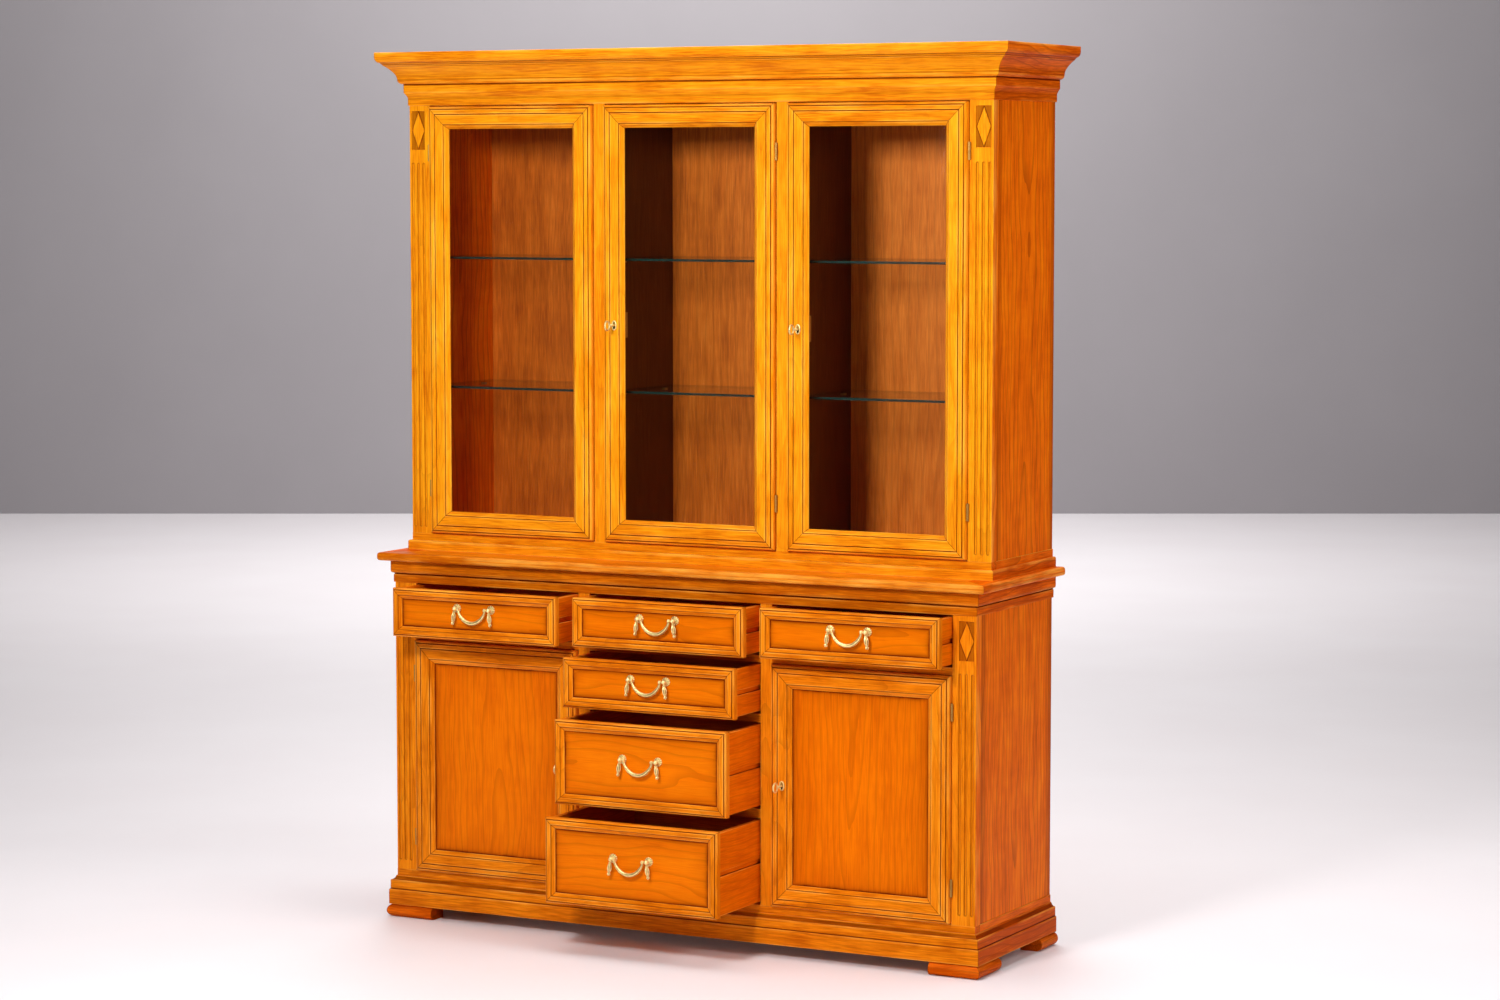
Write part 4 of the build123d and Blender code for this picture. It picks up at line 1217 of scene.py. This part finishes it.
@dataclass
class GlazedTop(Case):
    """The glazed upper half, its shelves and its cornice."""

    carcase_top: float = 2084.0
    fascia: float = 1973.0
    mortises: tuple[Span, Span] = ((-238.0, -228.0), (248.0, 258.0))
    bolt_heights: Span = (1464.5, 1476.5)
    shelf_tops: tuple[float, ...] = (1295.0, 1609.0)
    shelf_back: float = 12.0
    shelf_thick: float = 6.0
    shelf_front: float = 312.0

    def build(self, looks: Finishes) -> None:
        """Makes and dresses every fixed piece of the top.

        Args:
            looks: the finishes.
        """
        pair, faces, wide = (-1, 1), self.faces(), (-self.half, self.half)
        sides = [self.board_side(sign, (self.rail_top, self.fascia), 20 + sign) for sign in pair]
        show("side_boards_upper", sides, looks.side, FIXED, ["upper_uprights"])
        ceiling = self.carcase_top - self.board
        walls = [
            self.piece(self.divider(sign), self.inside(), (self.rail_top, ceiling), 2, 24 + sign, 30) for sign in pair
        ]
        # The dividers take the divider finish's painted shade.
        show("dividers_upper", walls, looks.divider, FIXED)
        carved = self.posts((951, 1835), (1866.5, 1960), 30)
        posts = show("posts_upper", carved, looks.amber, FIXED, ["upper_pilasters"])
        dress_some(posts, looks.side, aside)
        foot = (self.rail_bottom, self.rail_top)
        rails = [
            self.piece(wide, faces, foot, 0, 34),
            self.piece(wide, faces, (self.stile_top, self.carcase_top), 0, 35),
        ]
        for sign in pair:
            rails.append(self.piece(self.edge(sign), (0, faces[0]), foot, 1, 36 + sign))
            rails.append(self.piece(self.edge(sign), (0, faces[0]), (self.fascia, self.carcase_top), 1, 39 + sign))
        face = show("face_frame_upper", self.stiles(42) + rails, looks.amber, FIXED, ["upper_face_frame"])
        dress_some(face, looks.side, aside)
        within = (-self.half + self.side_board, self.half - self.side_board)
        floors = [
            self.piece(within, self.inside(), (self.rail_top - self.board, self.rail_top), 0, 45),
            self.piece(within, self.inside(), (ceiling, self.carcase_top), 0, 46),
        ]
        show("floor_and_roof_upper", floors, looks.inside, FIXED, ["upper_floor_and_roof"])
        show("back_upper", self.back_panels(), looks.inside, FIXED, ["upper_back"])
        self.mould("plinth_step", self.wrapped(plinth_profile(), self.rail_bottom, 50), looks, "upper_plinth")
        self.mould("cornice", self.wrapped(cornice_profile(), self.fascia, 54, (-0.5, -0.9)), looks, "cornice")
        self.shelves(looks)

    def back_panels(self) -> list[Patch]:
        """The back, veneered with a figured leaf behind each bay; the leaves are painted lighter to the right,
        painted light.

        Returns:
            The three leaves.
        """
        half = self.half - self.side_inset - self.side_board
        edges = (-half, -self.pitch / 2, self.pitch / 2, half)
        plain = np.zeros((10, 10))
        patches = []
        for number, (low, high) in enumerate(zip(edges[:-1], edges[1:])):
            across, along = np.linspace(0, (high - low) * MM, 10), np.linspace(0, 1.166, 10)
            corner = np.array([low * MM, self.y(10), self.rail_top * MM - 0.018])
            # Painted light: each leaf to the right is lighter.
            board = Board(60 + number, 26, shade=0.6 * number - 0.55)
            patches.append(slab(across, along, plain, (plain, plain), corner, RIGHT, FORWARD, 0.008, board))
        return patches

    def shelves(self, looks: Finishes) -> None:
        """Glass shelves with polished front edges, one piece for the six of them.

        Args:
            looks: the finishes.
        """
        low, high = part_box("glass_shelves")
        outer, inner = (self.pitch + self.board) / 2 + 1, (self.pitch - self.board) / 2 - 1
        bays = [(low.x / MM, -outer), (-inner, inner), (outer, high.x / MM)]
        plates = [
            self.piece(bay, (self.shelf_back, self.shelf_front), (top - self.shelf_thick, top), 0, 64)
            for bay in bays
            for top in self.shelf_tops
        ]
        piece = show("shelf_plates", plates, looks.shelf, FIXED, ["glass_shelves"])
        dress_some(piece, looks.shelf_edge, lambda normals: normals[:, 1] < -0.5)


@dataclass
class DrawerBase(Case):
    """The lower half with its rails, mouldings, feet and worktop."""

    floor_top: float = 31.0
    frieze: float = 822.0
    counter_under: float = 875.0
    counter_top: float = 895.0
    rails: tuple[Span, ...] = ((685.5, 702.5), (545.0, 565.0), (321.5, 343.5))
    lip: float = 40.0
    foot_lengths: tuple[float, float, float] = (0.108, 0.105, 0.095)

    def build(self, looks: Finishes) -> None:
        """Makes and dresses every fixed piece of the base.

        Args:
            looks: the finishes.
        """
        pair, faces, wide = (-1, 1), self.faces(), (-self.half, self.half)
        foot, top = (self.floor_top, self.rail_top), (self.frieze, self.counter_under)
        sides = [self.board_side(sign, (self.rail_top, self.frieze), 70 + sign) for sign in pair]
        show("side_boards_lower", sides, looks.side, FIXED, ["lower_uprights"])
        walls = [
            self.piece(self.divider(sign), self.inside(), (self.rail_top, self.counter_under), 2, 74 + sign)
            for sign in pair
        ]
        show("dividers_lower", walls, looks.inside, FIXED)
        posts = show("posts_lower", self.posts((140, 690), (719, 809), 80), looks.honey, FIXED, ["lower_pilasters"])
        dress_some(posts, looks.side, aside)
        boards = [self.piece(wide, faces, foot, 0, 84), self.piece(wide, faces, top, 0, 85)]
        inner, outer = self.pitch - self.opening, self.pitch + self.opening
        for number, rail in enumerate(self.rails):
            boards.append(self.piece((-self.opening, self.opening), faces, rail, 0, 86 + number))
        for sign in pair:
            boards.append(self.piece((sign * inner, sign * outer), faces, self.rails[0], 0, 90 + sign))
            boards.append(self.piece(self.edge(sign), (0, faces[0]), foot, 1, 93 + sign))
            boards.append(self.piece(self.edge(sign), (0, faces[0]), top, 1, 96 + sign))
        face = show("face_frame_lower", self.stiles(99) + boards, looks.honey, FIXED, ["lower_face_frame"])
        dress_some(face, looks.side, aside)
        base = self.wrapped(base_profile(), self.floor_top, 104, (-0.7, -2.4))
        self.mould("base_band", base, looks, "base_moulding")
        band = self.wrapped(frieze_profile(), self.frieze, 108, (-1.3, -1.4))
        self.mould("frieze_band", band, looks, "frieze_moulding")
        self.worktop(looks)
        self.feet(looks)

    def worktop(self, looks: Finishes) -> None:
        """The worktop: a wide middle with a rounded lip mitred round it.

        Args:
            looks: the finishes.
        """
        wide, deep, thick = self.half - self.lip, self.depth - self.lip, (self.counter_under, self.counter_top)
        middle = self.piece((-wide, wide), (0, deep), thick, 0, 112, 40)
        lips = self.wrapped(lip_profile(), self.counter_under, 114, (-0.8, -1.2))
        self.mould("worktop", [middle, *lips], looks, "countertop")

    def feet(self, looks: Finishes) -> None:
        """Front feet turn the corner with a mitre; back feet run along the side.

        Args:
            looks: the finishes.
        """
        profile, front, (arm, side_arm, rear) = foot_profile(), self.y(self.depth), self.foot_lengths
        patches = []
        for sign, ends, first in ((-1, (1, 0), 120), (1, (0, 1), 124)):
            x = sign * self.half * MM
            places = [
                ((x - sign * arm / 2, front, 0), arm, FORWARD, ends[::-1], 0.4),
                ((x, front + side_arm / 2, 0), side_arm, RIGHT * sign, ends, 0.4),
                ((x, self.back - rear / 2, 0), rear, RIGHT * sign, SQUARE, 0.0),
            ]
            for number, (middle, length, out, cuts, joint) in enumerate(places):
                # The feet take the side finish's painted shade and are darker still.
                board = Board(first + number, shade=-1.6)
                patches.append(sweep(profile, np.array(middle), length, out, UP, cuts, board, joint))
        show("block_feet", patches, looks.side, FIXED, ["feet"])


# ---------------------------------------------------------------- doors
@dataclass
class Door:
    """A mitred door with glass or a flat panel."""

    name: str
    glazed: bool
    first: int
    seat_glass: float = 8.0
    seat_panel: float = 11.5

    def build(self, looks: Finishes) -> None:
        """Makes the frame and what it holds.

        Args:
            looks: the finishes.
        """
        low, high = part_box(f"door_{self.name}")
        body = f"door_body_{self.name}"
        bottom, top = np.array([low.x, low.z]), np.array([high.x, high.z])
        seat = self.seat_glass if self.glazed else self.seat_panel
        members = framed(door_profile(seat), bottom, top, high.y, self.first, 0.1 if self.glazed else 0.0)
        stain = looks.amber if self.glazed else looks.honey
        show(f"frame_{self.name}", members, stain, body, [f"door_{self.name}"])
        if self.glazed:
            self.pane(looks, body)
            return
        tuck, board = (MEMBER - 6.5) * MM, Board(self.first + 5, 24, shade=-0.35)
        leaf = panel(bottom + tuck, top - tuck, high.y - seat * MM, 0.009, 0.0065, board)
        show(f"panel_{self.name}", [leaf], looks.panel, body)

    def pane(self, looks: Finishes, body: str) -> None:
        """A pane whose front falls 1.4 mm in a bevel along its edges, 20 mm of which show.

        Args:
            looks: the finishes.
            body: the door's body.
        """
        low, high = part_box(f"pane_{self.name}")
        width, height = high.x - low.x, high.z - low.z
        marks = np.array([0.0, 0.0275])
        across = np.concatenate([marks, width - marks[::-1]])
        along = np.concatenate([marks, height - marks[::-1]])
        relief = (np.outer([0, 1, 1, 0], [0, 1, 1, 0]) - 1) * 1.4 * MM
        plain = np.zeros((4, 4))
        pane = slab(across, along, relief, (plain, plain), np.array(low), RIGHT, FORWARD, high.y - low.y, Board(1))
        show(f"bevelled_pane_{self.name}", [pane], looks.pane, body, [f"pane_{self.name}"], 1.0)


# ---------------------------------------------------------------- drawers
@dataclass
class Drawer:
    """A drawer with a framed front, and the swag pull on it."""

    name: str
    first: int
    front: float = 20.0
    seat: float = 12.0
    side: float = 12.0
    groove: Span = (12.0, 5.5)
    boss_spacing: float = 94.0
    drop: float = 33.0

    def build(self, looks: Finishes) -> None:
        """Makes the front, the box behind it and the pull.

        Args:
            looks: the finishes.
        """
        low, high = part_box(f"drawer_{self.name}")
        body = f"drawer_body_{self.name}"
        bottom, top = np.array([low.x, low.z]), np.array([high.x, high.z])
        back = low.y + self.front * MM
        members = framed(front_profile(), bottom, top, back, self.first)
        show(f"front_{self.name}", members, looks.honey, body, [f"drawer_{self.name}"])
        tuck, board = 20.0 * MM, Board(self.first + 5, 34, True, 0.6)
        leaf = panel(bottom + tuck, top - tuck, back - self.seat * MM, 0.012, 0.005, board)
        show(f"front_panel_{self.name}", [leaf], looks.panel, body)
        self.box(looks, body, low, high, back)
        self.pull(looks, body)

    def box(self, looks: Finishes, body: str, low: Vector, high: Vector, back: float) -> None:
        """Grooved sides, rear and bottom.

        Args:
            looks: the finishes.
            body: the drawer's body.
            low: the drawer's lowest corner.
            high: its highest corner.
            back: Y of its front's back.
        """
        zs = (low.z + 0.006, high.z - 0.003)
        tall, length = (zs[1] - zs[0]) / MM, high.y - back
        mid, half = tall / 2, self.groove[0] / 2
        deep = self.side - self.groove[1]
        grooved = outline(
            [(0, 0, 0.5), (self.side, 0, 1), (self.side, mid - half, 0.5), (deep, mid - half, 0)]
            + [(deep, mid + half, 0), (self.side, mid + half, 0.5), (self.side, tall, 1), (0, tall, 1)],
            1.5,
        )
        boards = []
        for sign in (-1, 1):
            x = (low.x + 0.0005 + self.side * MM) if sign < 0 else (high.x - 0.0005 - self.side * MM)
            # The sides are painted darker: painted shade.
            middle, board = np.array([x, back + length / 2, zs[0]]), Board(self.first + 7 + sign, 50, shade=-1.3)
            boards.append(sweep(grooved, middle, length, RIGHT * sign, UP, SQUARE, board))
        show(f"sides_{self.name}", boards, looks.panel, body)
        left, right, rear_y, floor = low.x + 0.0125, high.x - 0.0125, high.y - 0.012, zs[0] + 0.01
        rear = plank((left, rear_y, floor), (right, high.y, zs[1] - 0.008), 0, Board(self.first + 10))
        base = plank((left, back, zs[0] + 0.004), (right, rear_y, floor), 0, Board(self.first + 11))
        show(f"box_{self.name}", [rear, base], looks.inside, body)

    def pull(self, looks: Finishes, body: str) -> None:
        """Two rosettes with ball bosses and hanging tassels, and the swag between them.

        The swag's middle line falls with the square root of 1 - 0.985 t^2, to the power 1.25, where t runs from
        -1 to 1 between the bosses. It is thickest in the middle and has four beads.

        Args:
            looks: the finishes.
            body: the drawer's body.
        """
        low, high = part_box(f"pull_{self.name}")
        x, z = (low.x + high.x) / 2, high.z - 0.0105
        face, pivot = high.y, high.y - 0.013
        cup = [(0, 10.4), (1.2, 10.4), (2.4, 9.4), (2.8, 7.8), (2.2, 6.6), (3.4, 5.6), (4.2, 4.4), (6, 3.2), (8, 3.0)]
        ball = [(13 - 5 * np.cos(a), 5 * np.sin(a)) for a in np.linspace(0, np.pi, 13)]
        tassel = [(0, 1.6), (3.2, 1.8), (4.2, 3.2), (5.4, 3.4), (6.4, 2.5), (7.6, 2.8), (10, 4.0), (14, 4.9)]
        tassel += [(18, 5.0), (22, 4.4), (26, 3.2), (28.4, 2.2), (29.6, 2.9), (31.4, 3.6), (33.2, 3.3), (35, 1.9)]
        tilt = np.radians(8.0)
        bosses: list[Patch] = []
        for sign in (-1, 1):
            start = np.array([x + sign * self.boss_spacing / 2 * MM, face, z])
            centre = np.array([start[0], pivot, z])
            down = np.array([sign * np.sin(tilt), 0.0, -np.cos(tilt)])
            bosses.append(turning([*cup, (9, 0)], start, FORWARD, (12, 0.05), 48))
            bosses.append(turning(ball, start, FORWARD))
            bosses.append(turning([(0, 1.5), (12.4, 1.5)], centre, RIGHT * -sign))
            bosses.append(turning([*tassel, (36, 0.2)], centre + down * 0.0035, down, (6, 0.14), 36))
        show(f"rosettes_{self.name}", bosses, looks.brass, body, [f"pull_{self.name}"])
        share = np.linspace(-1, 1, 61)
        hang = (self.drop - 1) * MM * np.sqrt(1 - 0.985 * share**2) ** 1.25
        path = np.stack([x + share * 0.037, np.full(61, pivot), z - 0.001 - hang], axis=-1)
        beads = sum(high * np.exp(-(((np.abs(share) - at) / 0.03) ** 2)) for high, at in ((0.25, 0.80), (0.2, 0.62)))
        radii = (2.5 + 2.0 * np.cos(share * np.pi / 2) ** 0.7) * MM * (1 + beads)
        eye = [(0, 2.6), (0.8, 3.9), (3, 4.0), (5.2, 3.9), (6, 2.6)]
        swag = [tube(path, radii, FORWARD, lobes=(5, 0.05), sides=30)]
        swag += [turning(eye, np.array([x + sign * 0.034, pivot, z]), RIGHT * sign) for sign in (-1, 1)]
        show(f"swag_{self.name}", swag, looks.brass, f"bail_body_{self.name}", [f"bail_{self.name}"])


@dataclass
class Key:
    """A lock's key with an oval bow, and the oval rim round its keyhole."""

    name: str
    bow: Span = (10.0, 10.5)
    wire: float = 2.1
    rim: Span = (5.2, 10.2)
    rim_wire: float = 1.5
    hole: Span = (2.1, 10.5)

    def build(self, looks: Finishes) -> None:
        """Makes the key along the line of its node, and the rim on its door.

        Args:
            looks: the finishes.
        """
        low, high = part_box(f"key_{self.name}")
        x, z = (low.x + high.x) / 2, (low.z + high.z) / 2
        length = (high.y - low.y) / MM
        start = np.array([x, high.y, z])
        neck = length - 2 * (self.bow[0] + self.wire)
        shank = [(0, 0.1), (0.2, 2.4), (neck - 10, 2.4), (neck - 9, 3.2), (neck - 7, 3.2), (neck - 6, 2.4)]
        shank += [(neck - 4, 2.4), (neck - 3, 3.4), (neck - 1, 3.4), (neck, 2.6), (neck + 3, 1.8), (neck + 4, 0.2)]
        centre = start + FORWARD * (neck + self.wire + self.bow[0]) * MM
        bow = tube(self.oval(centre, FORWARD, self.bow), np.full(64, self.wire * MM), RIGHT, closed=True, sides=14)
        bit = plank((x - 0.0015, high.y - 0.007, z - 0.0065), (x + 0.0015, high.y - 0.001, z), 2, Board(3))
        patches = [turning(shank, start, FORWARD), bow, bit]
        show(f"turned_key_{self.name}", patches, looks.brass, f"key_body_{self.name}", [f"key_{self.name}"])
        self.rim_and_hole(looks, x, z)

    def oval(self, centre: np.ndarray, across: np.ndarray, halves: Span) -> np.ndarray:
        """Returns points centre + a cos t across + b sin t up of an oval with half sizes a and b."""
        turn = np.linspace(0.0, 2 * np.pi, 64, endpoint=False)[:, None]
        return centre + (halves[0] * np.cos(turn) * across + halves[1] * np.sin(turn) * UP) * MM

    def rim_and_hole(self, looks: Finishes, x: float, z: float) -> None:
        """A raised oval rim and, inside it, a dark plate of painted shade for the keyhole below the shank.

        Args:
            looks: the finishes.
            x: X of the keyhole.
            z: its height.
        """
        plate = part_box(f"door_{self.name}")[0].y - 0.0015
        body = f"door_body_{self.name}"
        path = self.oval(np.array([x, plate, z]), RIGHT, self.rim)
        ring = tube(path, np.full(64, self.rim_wire * MM), FORWARD, closed=True, sides=12)
        show(f"keyhole_rim_{self.name}", [ring], looks.brass, body)
        wide, tall = self.hole[0] * MM, self.hole[1] * MM
        low, high = (x - wide, plate - 0.0004, z - tall + 0.002), (x + wide, plate + 0.0006, z + 0.002)
        # A near-black plate of painted shade stands for the keyhole.
        dark = plank(low, high, 2, Board(4), 0.3)
        show(f"keyhole_{self.name}", [dark], looks.keyhole_shade, body)


# ---------------------------------------------------------------- studio
@dataclass(frozen=True)
class SoftBox:
    """A square soft light, placed round the cabinet and turned to a point in metres."""

    name: str
    azimuth: float
    height: float
    distance: float
    size: float
    power: float
    aim: tuple[float, float, float] = (0.0, 0.0, 1.3)

    def hang(self) -> None:
        """Adds the light; azimuth 0 is straight in front and 90 is to the right."""
        light = bpy.data.lights.new(self.name, "AREA")
        light.shape, light.size, light.energy = "SQUARE", self.size, self.power
        lamp = bpy.data.objects.new(self.name, light)
        angle = np.radians(self.azimuth)
        lamp.location = (np.sin(angle) * self.distance, -np.cos(angle) * self.distance, self.height)
        lamp.rotation_euler = (Vector(self.aim) - lamp.location).to_track_quat("-Z", "Y").to_euler()
        bpy.context.scene.collection.objects.link(lamp)


@dataclass
class Studio:
    """Pale floor, a wall far behind, soft lights and the camera, which looks from the front's right."""

    azimuth: float = 27.754
    down: float = 4.952
    lens: float = 88.95
    eye: tuple[float, float, float] = (4.158, -7.9517, 1.7965)
    half_width: float = 18.0
    near: float = -12.0
    far: float = 11.2
    wall_height: float = 9.0
    sky: tuple[str, float] = ("#9FA0A5", 0.12)

    def build(self, back: float) -> None:
        """Sets up the studio.

        Args:
            back: Y of the cabinet's back.
        """
        angle = np.radians(self.azimuth)
        ahead = np.array([-np.sin(angle), np.cos(angle), 0.0])
        side = np.array([np.cos(angle), np.sin(angle), 0.0]) * self.half_width
        self.sheet("studio_floor", ahead * self.near, ahead * self.far, side, ("#EDE6E8", "#F4EFF1"))
        foot = ahead * self.far
        self.sheet("studio_wall", foot, foot + UP * self.wall_height, side, ("#908B8E", "#979295"))
        wall = (-np.sin(angle) * self.far, np.cos(angle) * self.far, 1.2)
        # The wash lights only the wall, the key models the front, the side and rear lights shape the rest.
        for light in (
            SoftBox("wall_wash", 207.754, 5.5, 7.0, 3.0, 480.0, wall),
            SoftBox("key_softbox", 5.6, 2.33, 2.78, 0.5, 72.0),
            SoftBox("side_softbox", 80.0, 3.0, 4.3, 1.6, 70.0),
            SoftBox("top_softbox", 180.0, 4.7, 0.5, 4.4, 240.0),
            SoftBox("front_fill", -12.0, 2.6, 6.5, 1.6, 36.0),
            SoftBox("rear_fill", 205.0, 4.2, 4.0, 2.0, 60.0),
        ):
            light.hang()
        self.dim_sky()
        self.camera(back)

    def sheet(
        self, name: str, near: np.ndarray, far: np.ndarray, side: np.ndarray, paint: tuple[str, str]
    ) -> None:
        """A flat painted sheet between two parallel edges.

        Args:
            name: the sheet's name.
            near: middle of its first edge.
            far: middle of its other edge.
            side: from the middle of an edge to its right end.
            paint: the two colours of its faint clouding.
        """
        corners = [near - side, near + side, far + side, far - side]
        mesh = bpy.data.meshes.new(name)
        mesh.from_pydata([corner.tolist() for corner in corners], [], [[0, 1, 2, 3]])
        mix = Recipe(name + "_paint")
        colour = mix.blend(mix.noise(mix.spot(), 1.5, 4.0), linear(paint[0]), linear(paint[1]))
        mesh.materials.append(mix.finish({"Base Color": colour, "Roughness": 0.5}))
        piece = bpy.data.objects.new(name, mesh)
        bpy.context.scene.collection.objects.link(piece)

    def dim_sky(self) -> None:
        """A dim grey sky, so that polished wood reflects little but the soft boxes."""
        world = bpy.data.worlds.new("studio_grey")
        world.use_nodes = True
        sockets = world.node_tree.nodes["Background"].inputs
        sockets["Color"].default_value, sockets["Strength"].default_value = linear(self.sky[0]), self.sky[1]
        bpy.context.scene.world = world
        bpy.context.scene.view_settings.view_transform = "Standard"

    def camera(self, back: float) -> None:
        """The camera, at standing height and to the right of the front.

        Args:
            back: Y of the cabinet's back.
        """
        lens = bpy.data.cameras.new("camera")
        lens.lens, lens.sensor_width = self.lens, 36.0
        camera = bpy.data.objects.new("camera", lens)
        camera.location = (self.eye[0], back + self.eye[1], self.eye[2])
        camera.rotation_euler = (np.radians(90.0 - self.down), 0.0, np.radians(self.azimuth))
        bpy.context.scene.collection.objects.link(camera)
        bpy.context.scene.camera = camera


def dress_kept_nodes(nodes: dict[str, bpy.types.Object], looks: Finishes) -> None:
    """Gives the nodes that are shown as they are their finishes.

    Args:
        nodes: the frame's nodes by name.
        looks: the finishes.
    """
    kept: list[tuple[tuple[str, ...], bpy.types.Material]] = [
        (("lower_boards", "lower_back", "drawer_runners"), looks.hidden),
        (("fittings", "case_hinge_leaves", "shelf_pins"), looks.plain_brass),
        (("bolt",), looks.steel),
    ]
    for name, node in nodes.items():
        for starts, material in kept:
            if name.startswith(starts):
                node.data.materials.clear()
                node.data.materials.append(material)
                LOG.info("%s kept with %s", name, material.name)


def main() -> None:
    """Builds the cabinet and its studio."""
    logging.basicConfig(level=logging.INFO, format="%(message)s")
    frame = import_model()
    looks = make_finishes()
    top = GlazedTop("upper", 352.0, 895.0, 936.0, 1972.0)
    top.build(looks)
    DrawerBase("lower", 431.0, 101.0, 118.0, 822.0).build(looks)
    for number, name in enumerate(("glass_left", "glass_middle", "glass_right", "cupboard_left", "cupboard_right")):
        Door(name, name.startswith("glass"), 200 + 10 * number).build(looks)
    for number, name in enumerate(("top_left", "top_middle", "top_right", "second", "third", "fourth")):
        Drawer(name, 300 + 15 * number).build(looks)
    for name in ("glass_middle", "glass_right", "cupboard_left", "cupboard_right"):
        Key(name).build(looks)
    dress_kept_nodes(frame["nodes"], looks)
    Studio().build(top.back)


if __name__ == "__main__":
    main()
